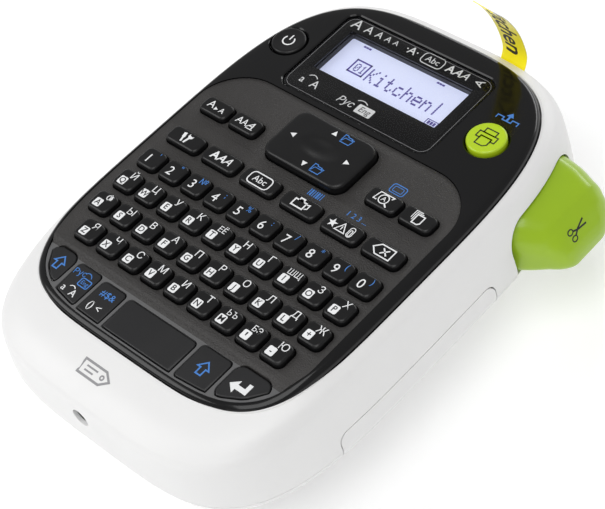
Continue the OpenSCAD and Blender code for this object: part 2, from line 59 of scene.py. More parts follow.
# %% The camera
AZIMUTH = math.radians(55.009)
ELEVATION = math.radians(48.638)
ROLL = math.radians(-16.22)
TARGET = Vector((19.35, -12.26, 50)) * MM
DISTANCE = 434.7 * MM
LENS = 102.93

toward = Vector((math.sin(AZIMUTH) * math.cos(ELEVATION),
                 -math.cos(AZIMUTH) * math.cos(ELEVATION), math.sin(ELEVATION)))
level = Vector((math.cos(AZIMUTH), math.sin(AZIMUTH), 0))
lift = toward.cross(level)
right = level * math.cos(ROLL) + lift * math.sin(ROLL)
up = lift * math.cos(ROLL) - level * math.sin(ROLL)
camera_data = bpy.data.cameras.new("camera")
camera_data.lens = LENS
camera_data.sensor_width = 36
camera_data.clip_start = 0.01
camera = bpy.data.objects.new("camera", camera_data)
camera_turn = Matrix((right, up, toward)).transposed().to_4x4()
camera.matrix_world = Matrix.Translation(TARGET + toward * DISTANCE) @ camera_turn
bpy.context.scene.collection.objects.link(camera)
bpy.context.scene.camera = camera
print("camera", [round(v, 3) for v in camera.location])


# %% Floor and lights
def area_light(name, place, aim, size, watts):
    data = bpy.data.lights.new(name, "AREA")
    data.shape = "RECTANGLE"
    data.size, data.size_y = size
    data.energy = watts
    light = bpy.data.objects.new(name, data)
    light.location = place
    light.rotation_euler = (Vector(aim) - Vector(place)).to_track_quat("-Z", "Y").to_euler()
    bpy.context.scene.collection.objects.link(light)


area_light("key_light", (-0.75, -0.6, 0.85), (0, 0, 0.03), (0.7, 0.7), 4.6)
area_light("rim_light", (-0.15, 1.25, 0.36), (0, 0, 0.03), (1.3, 0.22), 4.5)
area_light("top_light", (0.25, -0.3, 1.1), (0, 0, 0.03), (0.8, 0.8), 5.2)
area_light("front_light", (0.5, -1.2, 0.5), (0, 0, 0.03), (0.9, 0.5), 0.9)

world = bpy.data.worlds.new("studio")
world.use_nodes = True
world.node_tree.nodes["Background"].inputs["Color"].default_value = (1, 1, 1, 1)
world.node_tree.nodes["Background"].inputs["Strength"].default_value = 0.42
bpy.context.scene.world = world
bpy.context.scene.view_settings.view_transform = "Standard"

bpy.ops.mesh.primitive_plane_add(size=6)
floor = bpy.context.object
floor.name = "floor"

# %% [markdown]
# ## Materials
#
# Nearly everything here is moulded plastic. Two effects repeat over all of it, so each is a node group
# that puts out only masks and heights: `moulded_grain` gives the fine texture of a mould surface, and
# `handling_wear` gives broad, faint patches where hands polish or dull it. The Principled shader stays
# in each material, with its fixed numbers set on its own sockets.


# %% Shader groups
def group_tree(name, inputs, outputs):
    tree = bpy.data.node_groups.new(name, "ShaderNodeTree")
    for socket, value in inputs:
        made = tree.interface.new_socket(socket, in_out="INPUT", socket_type="NodeSocketFloat")
        made.default_value = value
    for socket in outputs:
        tree.interface.new_socket(socket, in_out="OUTPUT", socket_type="NodeSocketFloat")
    return tree, tree.nodes.new("NodeGroupInput"), tree.nodes.new("NodeGroupOutput")


def noise(tree, detail=3.0, roughness=0.6):
    node = tree.nodes.new("ShaderNodeTexNoise")
    node.inputs["Detail"].default_value = detail
    node.inputs["Roughness"].default_value = roughness
    tree.links.new(tree.nodes.new("ShaderNodeTexCoord").outputs["Object"], node.inputs["Vector"])
    return node


def math_node(tree, operation, *values):
    node = tree.nodes.new("ShaderNodeMath")
    node.operation = operation
    for socket, value in zip(node.inputs, values):
        if hasattr(value, "links"):
            tree.links.new(value, socket)
        else:
            socket.default_value = value
    return node.outputs[0]


def moulded_grain():
    tree, given, result = group_tree("moulded_grain", [("Scale", 2500.0)], ["Height", "Mottle"])
    fine = noise(tree, 2.0, 0.5)
    broad = noise(tree, 3.0, 0.6)
    tree.links.new(given.outputs["Scale"], fine.inputs["Scale"])
    tree.links.new(math_node(tree, "MULTIPLY", given.outputs["Scale"], 0.02), broad.inputs["Scale"])
    tree.links.new(fine.outputs["Fac"], result.inputs["Height"])
    tree.links.new(broad.outputs["Fac"], result.inputs["Mottle"])
    return tree


def handling_wear():
    tree, given, result = group_tree("handling_wear", [("Size", 45.0), ("Amount", 0.5)], ["Mask"])
    patches = noise(tree, 4.0, 0.65)
    tree.links.new(given.outputs["Size"], patches.inputs["Scale"])
    centred = math_node(tree, "SUBTRACT", patches.outputs["Fac"], 0.45)
    strong = math_node(tree, "MULTIPLY", centred, 5.0)
    scaled = math_node(tree, "MULTIPLY", strong, given.outputs["Amount"])
    clamped = math_node(tree, "MINIMUM", math_node(tree, "MAXIMUM", scaled, 0.0), 1.0)
    tree.links.new(clamped, result.inputs["Mask"])
    return tree


GRAIN = moulded_grain()
WEAR = handling_wear()
print("shader groups:", GRAIN.name, WEAR.name)


# %% One recipe for a moulded or metal finish
def finish(name, colour, roughness, tint=None, rough_worn=None, grain=2500.0, bump=0.05,
           metallic=0.0, coat=0.0, wear=0.5, wear_size=45.0, alpha=1.0, specular=0.5, glow=0.0,
           depth=0.0001):
    """A Principled material whose colour and roughness drift between two values over the surface."""
    material = bpy.data.materials.new(name)
    material.use_nodes = True
    tree = material.node_tree
    shader = tree.nodes["Principled BSDF"]
    shader.inputs["Metallic"].default_value = metallic
    shader.inputs["Coat Weight"].default_value = coat
    shader.inputs["Coat Roughness"].default_value = 0.06
    shader.inputs["Alpha"].default_value = alpha
    shader.inputs["Specular IOR Level"].default_value = specular
    grains = tree.nodes.new("ShaderNodeGroup")
    grains.node_tree = GRAIN
    grains.inputs["Scale"].default_value = grain
    worn = tree.nodes.new("ShaderNodeGroup")
    worn.node_tree = WEAR
    worn.inputs["Size"].default_value = wear_size
    worn.inputs["Amount"].default_value = wear
    blend = tree.nodes.new("ShaderNodeMix")
    blend.data_type = "RGBA"
    tint = tint or tuple(min(1.0, c * 0.9) for c in colour)
    blend.inputs["A"].default_value = (*colour, 1)
    blend.inputs["B"].default_value = (*tint, 1)
    mottled = math_node(tree, "MULTIPLY", grains.outputs["Mottle"], worn.outputs["Mask"])
    tree.links.new(mottled, blend.inputs["Factor"])
    tree.links.new(blend.outputs["Result"], shader.inputs["Base Color"])
    rough = tree.nodes.new("ShaderNodeMapRange")
    rough.inputs["To Min"].default_value = roughness
    rough.inputs["To Max"].default_value = roughness * 1.25 if rough_worn is None else rough_worn
    tree.links.new(worn.outputs["Mask"], rough.inputs["Value"])
    tree.links.new(rough.outputs["Result"], shader.inputs["Roughness"])
    relief = tree.nodes.new("ShaderNodeBump")
    relief.inputs["Strength"].default_value = bump
    relief.inputs["Distance"].default_value = depth
    tree.links.new(grains.outputs["Height"], relief.inputs["Height"])
    tree.links.new(relief.outputs["Normal"], shader.inputs["Normal"])
    # glow makes a surface give off its own colour: a real backlight on the display, painted light on the
    # label film, even brightness on the floor
    if glow:
        tree.links.new(blend.outputs["Result"], shader.inputs["Emission Color"])
        shader.inputs["Emission Strength"].default_value = glow
    return material


FINISH = {
    "white_abs": finish("white_abs", (0.84, 0.838, 0.835), 0.4, (0.8, 0.798, 0.796), grain=1800, bump=0.12),
    "white_inside": finish("white_inside", (0.6, 0.6, 0.6), 0.6),
    "panel_gloss": finish("panel_gloss", (0.003, 0.003, 0.0035), 0.14, (0.006, 0.006, 0.0065),
                          rough_worn=0.2, bump=0.01, coat=0.08, specular=0.32),
    "deck_spark": finish("deck_spark", (0.034, 0.032, 0.031), 0.44, (0.056, 0.052, 0.051),
                         grain=2400, bump=0.9, specular=0.42, depth=0.0003),
    "deck_gloss": finish("deck_gloss", (0.12, 0.12, 0.122), 0.3, (0.09, 0.09, 0.092), bump=0.05),
    "key_satin": finish("key_satin", (0.004, 0.004, 0.0045), 0.3, (0.009, 0.009, 0.0095),
                        rough_worn=0.36, grain=2800, bump=0.14, specular=0.36),
    "strip_satin": finish("strip_satin", (0.014, 0.014, 0.015), 0.4, (0.02, 0.02, 0.021),
                          grain=2800, bump=0.3, specular=0.4),
    "frame_black": finish("frame_black", (0.02, 0.02, 0.021), 0.4),
    "ink_white": finish("ink_white", (0.86, 0.87, 0.88), 0.5),
    "ink_blue": finish("ink_blue", (0.06, 0.22, 0.62), 0.5, (0.05, 0.2, 0.56)),
    "ink_grey": finish("ink_grey", (0.3, 0.3, 0.31), 0.5, (0.26, 0.26, 0.27)),
    "ink_black": finish("ink_black", (0.012, 0.012, 0.014), 0.45),
    "lime_button": finish("lime_button", (0.48, 0.68, 0.012), 0.3, (0.42, 0.62, 0.012),
                          bump=0.05, coat=0.2),
    "lime_lever": finish("lime_lever", (0.33, 0.52, 0.006), 0.3, (0.27, 0.45, 0.006), bump=0.06, coat=0.2),
    "lcd_ground": finish("lcd_ground", (0.68, 0.73, 0.97), 0.35, (0.76, 0.81, 0.99),
                         wear_size=30, glow=0.42),
    "lcd_pixel": finish("lcd_pixel", (0.13, 0.1, 0.42), 0.5),
    # The label film's faint glow is painted light: it lifts the yellow where the curl falls into shade.
    "tape_film": finish("tape_film", (0.96, 0.83, 0.0), 0.3, (0.9, 0.75, 0.0), bump=0.03, coat=0.2,
                        glow=0.12),
    "tape_backing": finish("tape_backing", (0.72, 0.72, 0.7), 0.6),
    "steel": finish("steel", (0.6, 0.6, 0.61), 0.3, metallic=1.0, bump=0.1),
    "brass": finish("brass", (0.75, 0.55, 0.2), 0.3, metallic=1.0),
    "acetal": finish("acetal", (0.8, 0.79, 0.72), 0.4),
    "rubber": finish("rubber", (0.03, 0.03, 0.03), 0.7, bump=0.3),
    "silicone": finish("silicone", (0.2, 0.2, 0.21), 0.6),
    "grey_plastic": finish("grey_plastic", (0.3, 0.31, 0.32), 0.5),
    "board": finish("board", (0.01, 0.09, 0.03), 0.35),
    "cell_sleeve": finish("cell_sleeve", (0.04, 0.045, 0.055), 0.35),
    "ceramic": finish("ceramic", (0.6, 0.53, 0.4), 0.25),
}
window_glass = finish("window_glass", (0.01, 0.01, 0.011), 0.05, rough_worn=0.07, bump=0.0, alpha=0.07,
                      wear=0.1, specular=0.3)
floor_paper = finish("floor_paper", (0.93, 0.93, 0.93), 0.8, (0.925, 0.925, 0.925), glow=0.22)
floor.data.materials.append(floor_paper)
print("finishes:", len(FINISH) + 2)

# %% [markdown]
# ## Mesh helpers
#
# Shapes are worked out in millimetres and scaled to metres when the mesh is made. Three kinds of shape
# cover most of the object: a skin lofted through closed rings, a plate cut from an outline with holes
# and a rounded edge, and flat ink for printed symbols.


# %% Pieces, smoothing and cutting
def link_mesh(name, mesh, materials, smooth=38):
    piece = bpy.data.objects.new(name, mesh)
    bpy.context.scene.collection.objects.link(piece)
    mesh.materials.clear()
    for material in materials:
        mesh.materials.append(FINISH.get(material, window_glass))
    if smooth:
        mesh.shade_smooth()
        mesh.set_sharp_from_angle(angle=math.radians(smooth))
    return piece


def seat(piece, body, slot, *nodes):
    """Hang a finished piece on its body and hide the CAD nodes it stands for. The slot argument is not used.
    """
    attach(piece, body)
    if nodes:
        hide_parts(*nodes)
    return piece


def mesh_from(verts, faces, name="mesh"):
    mesh = bpy.data.meshes.new(name)
    mesh.from_pydata([tuple(c * MM for c in v) for v in verts], [], faces)
    mesh.validate()
    work = bmesh.new()
    work.from_mesh(mesh)
    bmesh.ops.remove_doubles(work, verts=work.verts, dist=1e-6)
    bmesh.ops.recalc_face_normals(work, faces=work.faces)
    work.to_mesh(mesh)
    work.free()
    return mesh


def loft(rings, cap_start=True, cap_end=True):
    """Faces between closed rings of equal length, with flat ends."""
    n = len(rings[0])
    verts = [v for ring in rings for v in ring]
    faces = []
    for r in range(len(rings) - 1):
        for i in range(n):
            j = (i + 1) % n
            faces.append((r * n + i, r * n + j, (r + 1) * n + j, (r + 1) * n + i))
    if cap_start:
        faces.append(tuple(range(n - 1, -1, -1)))
    if cap_end:
        faces.append(tuple(range((len(rings) - 1) * n, len(rings) * n)))
    return mesh_from(verts, faces, "loft")


def baked(piece):
    """Apply every modifier of a piece."""
    graph = bpy.context.evaluated_depsgraph_get()
    mesh = bpy.data.meshes.new_from_object(piece.evaluated_get(graph))
    piece.modifiers.clear()
    piece.data = mesh
    return piece


def cut(piece, tools, operation="DIFFERENCE"):
    """Boolean each tool into the piece, then throw the tools away."""
    for tool in tools:
        step = piece.modifiers.new("cut", "BOOLEAN")
        step.operation = operation
        step.solver = "MANIFOLD"
        step.object = tool
    baked(piece)
    for tool in tools:
        bpy.data.objects.remove(tool)
    piece.data.shade_smooth()
    piece.data.set_sharp_from_angle(angle=math.radians(38))
    return piece


def tool_piece(mesh):
    tool = bpy.data.objects.new("tool", mesh)
    bpy.context.scene.collection.objects.link(tool)
    return tool


# %% Outlines
def rounded_rect(at, w, d, r, steps=8):
    """Points of a rounded rectangle, anticlockwise, corners as arcs."""
    points = []
    for k, (sx, sy) in enumerate(((1, 1), (-1, 1), (-1, -1), (1, -1))):
        for i in range(steps + 1):
            a = math.radians(90 * k + 90 * i / steps)
            points.append((at[0] + sx * (w / 2 - r) + r * math.cos(a),
                           at[1] + sy * (d / 2 - r) + r * math.sin(a)))
    return points


def circle(at, r, steps=48):
    return [(at[0] + r * math.cos(2 * math.pi * i / steps), at[1] + r * math.sin(2 * math.pi * i / steps))
            for i in range(steps)]


def bulged(half_w, back, front, power, count=256):
    """Superellipse with its own squareness at the back and at the front."""
    points = []
    for i in range(count):
        a = 2 * math.pi * (i + 0.5) / count
        reach, n = (back, power[0]) if math.sin(a) > 0 else (-front, power[1])
        points.append((half_w * math.copysign(abs(math.cos(a)) ** (2 / n), math.cos(a)),
                       reach * math.copysign(abs(math.sin(a)) ** (2 / n), math.sin(a))))
    return points


def prism(points, z0, z1):
    return loft([[(x, y, z0) for x, y in points], [(x, y, z1) for x, y in points]])


def box_tool(x, y, z):
    return tool_piece(prism([(x[0], y[0]), (x[1], y[0]), (x[1], y[1]), (x[0], y[1])], *z))


# %% Plates with holes and a rounded edge
def plate_mesh(outlines, z0, z1, edge=0.0, steps=2):
    """A filled 2D curve gives a plate with any number of holes; its bevel rounds every edge."""
    curve = bpy.data.curves.new("plate", "CURVE")
    curve.dimensions = "2D"
    curve.fill_mode = "BOTH"
    curve.extrude = (z1 - z0) / 2 - edge
    curve.bevel_depth = edge
    curve.bevel_resolution = steps
    curve.offset = -edge
    for outline in outlines:
        spline = curve.splines.new("POLY")
        spline.points.add(len(outline) - 1)
        for point, (x, y) in zip(spline.points, outline):
            point.co = (x, y, 0, 1)
        spline.use_cyclic_u = True
    carrier = bpy.data.objects.new("plate", curve)
    bpy.context.scene.collection.objects.link(carrier)
    graph = bpy.context.evaluated_depsgraph_get()
    mesh = bpy.data.meshes.new_from_object(carrier.evaluated_get(graph))
    bpy.data.objects.remove(carrier)
    mesh.transform(Matrix.Translation((0, 0, (z0 + z1) / 2)))
    mesh.transform(Matrix.Scale(MM, 4))
    work = bmesh.new()
    work.from_mesh(mesh)
    bmesh.ops.remove_doubles(work, verts=work.verts, dist=2e-6)
    bmesh.ops.recalc_face_normals(work, faces=work.faces)
    work.to_mesh(mesh)
    work.free()
    return mesh


# %% [markdown]
# ## The white case
#
# The real case is two thick white mouldings and a battery cover, all in one continuous outer skin. It
# could be sculpted, but its plan is a rounded box at every height, so it is lofted: a few measured
# levels are joined by smooth curves and each level is drawn as a superellipse. The three mouldings are
# cut from the same skin, so their surfaces run on across every seam.

# %% Levels of the skin
LEVELS = np.array([
    [0, 33, 60, -60], [0.8, 35.4, 62.2, -62.3], [3, 38, 64.2, -64.4], [9, 42.4, 67.6, -67.4],
    [17, 48, 71.6, -71.5], [27, 55.1, 75.9, -76.5], [39.2, 52.8, 75.9, -76.2], [41.2, 52.1, 75.7, -75.3],
    [42.4, 51.6, 75.2, -73.6], [44.4, 50.6, 74, -69.5], [46.4, 48.6, 71.2, -60.6]])
CASE_POWER = (3.7, 4.1)
PANEL_POWER = (3.64, 4.6)
WALL = 2.2
SEAM_Z = 26.5
GAP = 0.3


def smooth_levels(rows, steps):
    """Monotone cubic curves through the rows, so that nothing overshoots the widest level."""
    slope = np.diff(rows, axis=0)
    tangent = np.zeros_like(rows)
    tangent[0], tangent[-1] = slope[0], slope[-1]
    for i in range(1, len(rows) - 1):
        a, b = slope[i - 1], slope[i]
        same = a * b > 0
        tangent[i][same] = 2 * a[same] * b[same] / (a[same] + b[same])
    found = []
    for i in range(len(rows) - 1):
        for t in np.linspace(0, 1, steps, endpoint=False):
            found.append((2 * t**3 - 3 * t**2 + 1) * rows[i] + (t**3 - 2 * t**2 + t) * tangent[i]
                         + (3 * t**2 - 2 * t**3) * rows[i + 1] + (t**3 - t**2) * tangent[i + 1])
    return np.array(found + [rows[-1]])


SKIN = smooth_levels(LEVELS, 6)


def level_at(z):
    return [float(np.interp(z, SKIN[:, 0], SKIN[:, k])) for k in (1, 2, 3)]


def skin_ring(z, inset=0.0, count=256):
    half_w, back, front = level_at(z)
    return [(x, y, z) for x, y in bulged(half_w - inset, back - inset, front + inset, CASE_POWER, count)]


def panel_ring(z, inset=0.0, count=256):
    return [(x, y, z) for x, y in bulged(47.9 - inset, 70.5 - inset, -59.9 + inset, PANEL_POWER, count)]


def heights(low, high):
    inner = [z for z in SKIN[:, 0] if low + 0.15 < z < high - 0.15]
    return [low, *inner, high]


def closed_loft(rings):
    return loft([*rings, rings[0]], False, False)


print("skin levels:", len(SKIN))


# %% Space of the battery cover
def flap_tool(side, grow):
    """Rounded flap of the cover up one side wall."""
    outline = rounded_rect((-11.75, 15), 58.5 + 2 * grow, 34 + 2 * grow, 3.2, 6)
    inner, outer = (46.6 if grow else 44, 60)
    return tool_piece(loft([[(side * x, y, z) for y, z in outline] for x in (inner, outer)]))


def floor_tool(grow, top):
    x, y0, y1 = 44.4 + grow, -59.5 - grow, 62 + grow
    return box_tool((-x, x), (y0, y1), (-2, top))


def soft_rect(y0, y1, z0, z1, r_low, r_high, steps=12):
    """Rectangle in Y and Z with one radius for its lower corners and another for its upper ones."""
    points = []
    for k, (y, z, r) in enumerate(((y1, z1, r_high), (y0, z1, r_high), (y0, z0, r_low), (y1, z0, r_low))):
        side, rise = (1 if y == y1 else -1), (1 if z == z1 else -1)
        for i in range(steps + 1):
            a = math.radians(90 * k + 90 * i / steps)
            points.append((y - side * r + r * math.cos(a), z - rise * r + r * math.sin(a)))
    return points


def lever_tool():
    outline = soft_rect(26.6, 60.8, 22.2, 40.6, 3.4, 7.5)
    return tool_piece(loft([[(x, y, z) for y, z in outline] for x in (44, 64)]))


def tilted_box(size, place, angle):
    half = [s / 2 for s in size]
    mesh = prism([(-half[0], -half[1]), (half[0], -half[1]), (half[0], half[1]), (-half[0], half[1])],
                 -half[2], half[2])
    mesh.transform(Matrix.Translation(Vector(place) * MM) @ Matrix.Rotation(math.radians(angle), 4, "X"))
    return tool_piece(mesh)


def rod_tool(place, r, length, axis):
    mesh = prism(circle((0, 0), r), 0, length)
    turn = {"Z": Matrix(), "-Y": Matrix.Rotation(math.radians(90), 4, "X"),
            "X": Matrix.Rotation(math.radians(90), 4, "Y")}[axis]
    mesh.transform(Matrix.Translation(Vector(place) * MM) @ turn)
    return tool_piece(mesh)


SCREWS = [(-36.6, 65.2), (36.6, 65.2), (-38, -65.2), (38, -65.2)]

# %% Upper moulding
upper = [skin_ring(z) for z in heights(SEAM_Z, 46.2)]
upper += [skin_ring(46.4, 0.15), panel_ring(46.4, -0.3), panel_ring(43.4, -0.2), panel_ring(43.4, 2.4)]
upper += [panel_ring(41.6, 2.4), skin_ring(41.3, WALL), *[skin_ring(z, WALL) for z in (38, 34, 30, SEAM_Z)]]
top_shell = link_mesh("top_shell", closed_loft(upper), ["white_abs"])
cut(top_shell, [flap_tool(1, GAP), flap_tool(-1, GAP), lever_tool(),
                tilted_box((10.4, 14, 1.8), (18, 74, 44.3), 45),
                rod_tool((-2, -66, 36), 2.7, 14, "-Y")])
seat(top_shell, "case", "white_case", "top_case")
print("top_shell:", len(top_shell.data.vertices), "points")

# %% Lower moulding
lower = [skin_ring(z) for z in heights(0, SEAM_Z - 0.18)]
lower_inner = [skin_ring(z, WALL) for z in reversed(heights(WALL, SEAM_Z - 0.18))]
lower_solid = loft([*lower, *lower_inner])
base_shell = link_mesh("base_shell", lower_solid.copy(), ["white_abs"])
cut(base_shell, [floor_tool(GAP, 40), flap_tool(1, GAP), flap_tool(-1, GAP), lever_tool(),
                 *[rod_tool((x, y, -1), 2.2, 12, "Z") for x, y in SCREWS]])
seat(base_shell, "case", "white_case", "bottom_case")
print("base_shell:", len(base_shell.data.vertices), "points")

# %% Battery and cartridge bay behind the cover
bay = plate_mesh([rounded_rect((0, 1.3), 93, 126, 2), rounded_rect((0, -28.3), 90, 63, 1),
                  rounded_rect((0, 33.4), 90, 58.8, 1)], 22, 33.4)
bay_walls = link_mesh("bay_walls", bay, ["white_inside"])
cut(bay_walls, [box_tool((36, 60), (21, 61.6), (0, 60))])
hull_tool = tool_piece(loft([skin_ring(z, WALL + 0.35) for z in (18, 22, 27, 34, 36)]))
cut(bay_walls, [hull_tool], "INTERSECT")
seat(bay_walls, "case", "white_case")

# %% [markdown]
# ## The battery cover
#
# On the real object the cover is the whole underside plus a flap up each side wall, and only the
# flap's rounded outline shows from above. It is the same skin intersected with the cover's space, which
# leaves an even seam all round. Five thumb grooves mark the end that is pushed.

# %% Cover
cover_rings = [skin_ring(z) for z in heights(0, 34)]
cover_inner = [skin_ring(z, WALL) for z in reversed(heights(WALL, 34))]
cover = link_mesh("battery_cover", loft([*cover_rings, *cover_inner]), ["white_abs"])
cover_floor = link_mesh("cover_floor", cover.data.copy(), ["white_abs"])
cut(cover_floor, [floor_tool(0, SEAM_Z - GAP)], "INTERSECT")
flaps = []
for side in (1, -1):
    flap = link_mesh("flap", cover.data.copy(), ["white_abs"])
    cut(flap, [flap_tool(side, 0)], "INTERSECT")
    flaps.append(flap)
bpy.data.objects.remove(cover)
cover_shell = cut(cover_floor, flaps, "UNION")
cover_shell.name = "battery_cover"
cut(cover_shell, [rod_tool((-12, -47 - 2.6 * k, -0.5), 0.7, 24, "X") for k in range(5)])
seat(cover_shell, "rear_cover", "white_case", "rear_cover")
print("battery_cover:", len(cover_shell.data.vertices), "points")

# %% [markdown]
# ## The gloss black front panel
#
# The front panel is polished black plastic with a rolled rim that catches one long highlight. A loft
# gives the rim its radius; the openings for keys, window and buttons are cut after it. The window's
# recess gets a flared mouth, which is what reads as a fine bright line round the glass.

# %% Field of the keys as one outline
DECK_AT, DECK_SIZE, DECK_R = (-0.75, -15.4), (91.1, 89.2), 15
STEP_Y, STEP_RUN, STEP_DROP = -43.4, 2.2, 1.1


def reach(outline, centre, angle):
    """Distance from the centre to a closed outline along one direction."""
    points = np.array(outline) - np.array(centre)
    after = np.roll(points, -1, axis=0)
    d = np.array([math.cos(angle), math.sin(angle)])
    side = points[:, 0] * d[1] - points[:, 1] * d[0]
    side_after = after[:, 0] * d[1] - after[:, 1] * d[0]
    along = points @ d
    along_after = after @ d
    hit = side * side_after <= 0
    share = side[hit] / (side[hit] - side_after[hit] + 1e-12)
    distance = along[hit] + share * (along_after[hit] - along[hit])
    return float(distance[distance > 0].max())


def deck_outline(inset, count=240):
    plate = rounded_rect(DECK_AT, DECK_SIZE[0] - 2 * inset, DECK_SIZE[1] - 2 * inset, DECK_R - inset, 20)
    panel = bulged(47.9 - 1.7 - inset, 70.5 - 1.7 - inset, -59.9 + 1.7 + inset, PANEL_POWER)
    points = []
    for i in range(count):
        a = 2 * math.pi * (i + 0.5) / count
        r = min(reach(plate, DECK_AT, a), reach(panel, DECK_AT, a))
        points.append((DECK_AT[0] + r * math.cos(a), DECK_AT[1] + r * math.sin(a)))
    return points


def step_down(mesh, low, high, start=STEP_Y, run=STEP_RUN):
    """Slice a plate at the step and sink everything in front of it, more the higher it stands."""
    work = bmesh.new()
    work.from_mesh(mesh)
    for k in range(7):
        everything = [*work.verts, *work.edges, *work.faces]
        bmesh.ops.bisect_plane(work, geom=everything, dist=1e-6, plane_no=(0, 1, 0),
                               plane_co=(0, (start - run * k / 6) * MM, 0))
    for vert in work.verts:
        t = min(1, max(0, (start - vert.co.y / MM) / run))
        rise = min(1, max(0, (vert.co.z / MM - low) / (high - low)))
        vert.co.z -= STEP_DROP * MM * t * t * (3 - 2 * t) * rise
    bmesh.ops.triangulate(work, faces=[f for f in work.faces if len(f.verts) > 4])
    work.to_mesh(mesh)
    work.free()
    return mesh


# %% Panel
RIM = [(0, 43.6), (0, 46.4)]
RIM += [(1.9 * (1 - math.cos(math.radians(a))), 46.4 + 2.1 * math.sin(math.radians(a)))
        for a in (10, 20, 30, 40, 50, 60, 70, 78, 84)]
RIM += [(2.4, 48.55), (3.2, 48.6)]
bezel = link_mesh("front_panel", loft([panel_ring(z, inset) for inset, z in RIM]), ["panel_gloss"])
WINDOW_AT, WINDOW = (-3.9, 47), (53.4, 32)
LCD_AT, LCD = (-4, 49.1), (44, 16.4)
POWER_AT, PRINT_AT, NAV_AT = (-38.5, 44.3), (33, 44.5), (-1, 16.8)


def mouth(at, w, d, r, floor_z, top, flare):
    """Cutter with a flared mouth that leaves a bright chamfer round an opening."""
    rings = [(0, floor_z), (0, top - flare), (flare, top), (flare, top + 5)]
    return tool_piece(loft([[(x, y, z) for x, y in rounded_rect(at, w + 2 * g, d + 2 * g, r + g, 12)]
                            for g, z in rings]))


cut(bezel, [tool_piece(prism(deck_outline(0), 40, 60)),
            mouth(WINDOW_AT, *WINDOW, 3.5, 47.4, 48.6, 0.35),
            tool_piece(prism(rounded_rect(LCD_AT, LCD[0] + 4, LCD[1] + 4, 1.5), 40, 60)),
            mouth(POWER_AT, 11, 11, 5.45, 40, 48.6, 0.4), mouth(PRINT_AT, 11.8, 11.8, 5.85, 40, 48.6, 0.4)])
step_down(bezel.data, 45.4, 48.6, -36, 15)
seat(bezel, "case", "panel_black", "front_bezel")
print("front_panel:", len(bezel.data.vertices), "points")

# %% [markdown]
# ## The key field
#
# Between the keys lies a dark grey field with a sparkle texture. It is one plate with a hole for every
# key, so a filled curve makes it in one go. At the front it steps down to a strip of flush keys.

# %% Key sizes and places
PITCH, KEY_W, KEY_D, KEY_GAP, KEY_TOP = 8.6, 7.3, 6.6, 0.35, 50.0
ROWS = {"number_keys": (-10.5, 10, 4.5), "upper_letter_keys": (-19.7, 10, 4.5),
        "middle_letter_keys": (-29.0, 10, 4.5), "lower_letter_keys": (-38.0, 9, 4.0)}
WIDE = {"settings_key": (-35.8, 0, 12), "style_key": (-21.9, 0, 12.2), "frame_key": (-7.4, 0, 12.2),
        "length_key": (7.4, 0, 12.2), "symbol_key": (21.9, 0, 12.2), "backspace_key": (35.8, 0, 12),
        "size_key": (-36.7, 13.2, 10), "width_key": (-25.5, 13.2, 10),
        "preview_key": (24.6, 13.2, 10.2), "copies_key": (36, 13.2, 10.2)}
STRIP = {"left_shift_key": (-39.8, -31.4, -55.6, -44.9, 2.6),
         "language_key": (-29.8, -21.4, -57.2, -46, 1.2),
         "accent_key": (-19.8, -11.4, -58, -46.6, 1.2), "space_key": (-9.8, 14.8, -58.2, -46.9, 1.2),
         "right_shift_key": (16.4, 26.6, -57.2, -46, 1.2), "enter_key": (28.2, 39.8, -55.6, -44.9, 2.6)}


def row_places(name):
    y, count, shift = ROWS[name]
    return [((i - shift) * PITCH, y) for i in range(count)]


def strip_outline(key, grow):
    """Flush key outline, held inside the panel's own curve at the corners."""
    left, right_edge, front, back, r = STRIP[key]
    centre = ((left + right_edge) / 2, (front + back) / 2)
    limit = bulged(47.9 - 2.7 + grow, 70.5, -59.9 + 2.7 - grow, PANEL_POWER)
    plate = rounded_rect(centre, right_edge - left + 2 * grow, back - front + 2 * grow, r + grow, 6)
    points = []
    for x, y in plate:
        away = math.atan2(y - centre[1], x - centre[0])
        far = min(math.hypot(x - centre[0], y - centre[1]), reach(limit, centre, away))
        points.append((centre[0] + far * math.cos(away), centre[1] + far * math.sin(away)))
    return points


# %% The field
holes = [rounded_rect(at, KEY_W + 2 * KEY_GAP, KEY_D + 2 * KEY_GAP, 1.95, 5)
         for name in ROWS for at in row_places(name)]
holes += [rounded_rect((x, y), w + 2 * KEY_GAP, 5.6 + 2 * KEY_GAP, 1.95, 5) for x, y, w in WIDE.values()]
holes += [strip_outline(key, KEY_GAP) for key in STRIP]
holes.append(rounded_rect(NAV_AT, 29, 18.6, 4, 8))
field_mesh = step_down(plate_mesh([deck_outline(0.12), *holes], 46.2, 48.35, 0.12, 1), 45.4, 48.6)
field = link_mesh("key_field", field_mesh, ["deck_spark", "deck_gloss"])
for polygon in field.data.polygons:
    if polygon.center.y < (STEP_Y - STEP_RUN) * MM:
        polygon.material_index = 1
seat(field, "case", "deck_grey", "key_deck")
print("key_field:", len(holes), "holes")

# %% [markdown]
# ## Keys
#
# The keys are small silicone-like caps: straight sides, a soft shoulder and an almost flat top, which
# shows as a bright line along each far edge. One loft of rounded rectangles makes a cap, and the same
# function serves all of them. Keys of one row are joined, as they are one part in the model.


# %% Cap helpers
def cap_rings(outline_at, low, top, shoulder, drop, flange=0.0):
    """Heights and insets of a cap: flange, straight side, rounded shoulder, flat top."""
    rings = [(-flange, low - 0.8), (-flange, low - 0.25), (0, low - 0.2)] if flange else [(0, low)]
    rings.append((0, top - drop))
    for a in (18, 36, 54, 72, 86):
        bend = math.radians(a)
        rings.append((shoulder * (1 - math.cos(bend)), top - drop + drop * math.sin(bend)))
    rings.append((shoulder * 1.25, top))
    return [[(x, y, z) for x, y in outline_at(inset)] for inset, z in rings]


def key_cap(at, w, d, r=1.6):
    return loft(cap_rings(lambda g: rounded_rect(at, w - 2 * g, d - 2 * g, max(0.3, r - g * 0.6), 5),
                          46.2, KEY_TOP, 0.85, 0.8, 0.42))


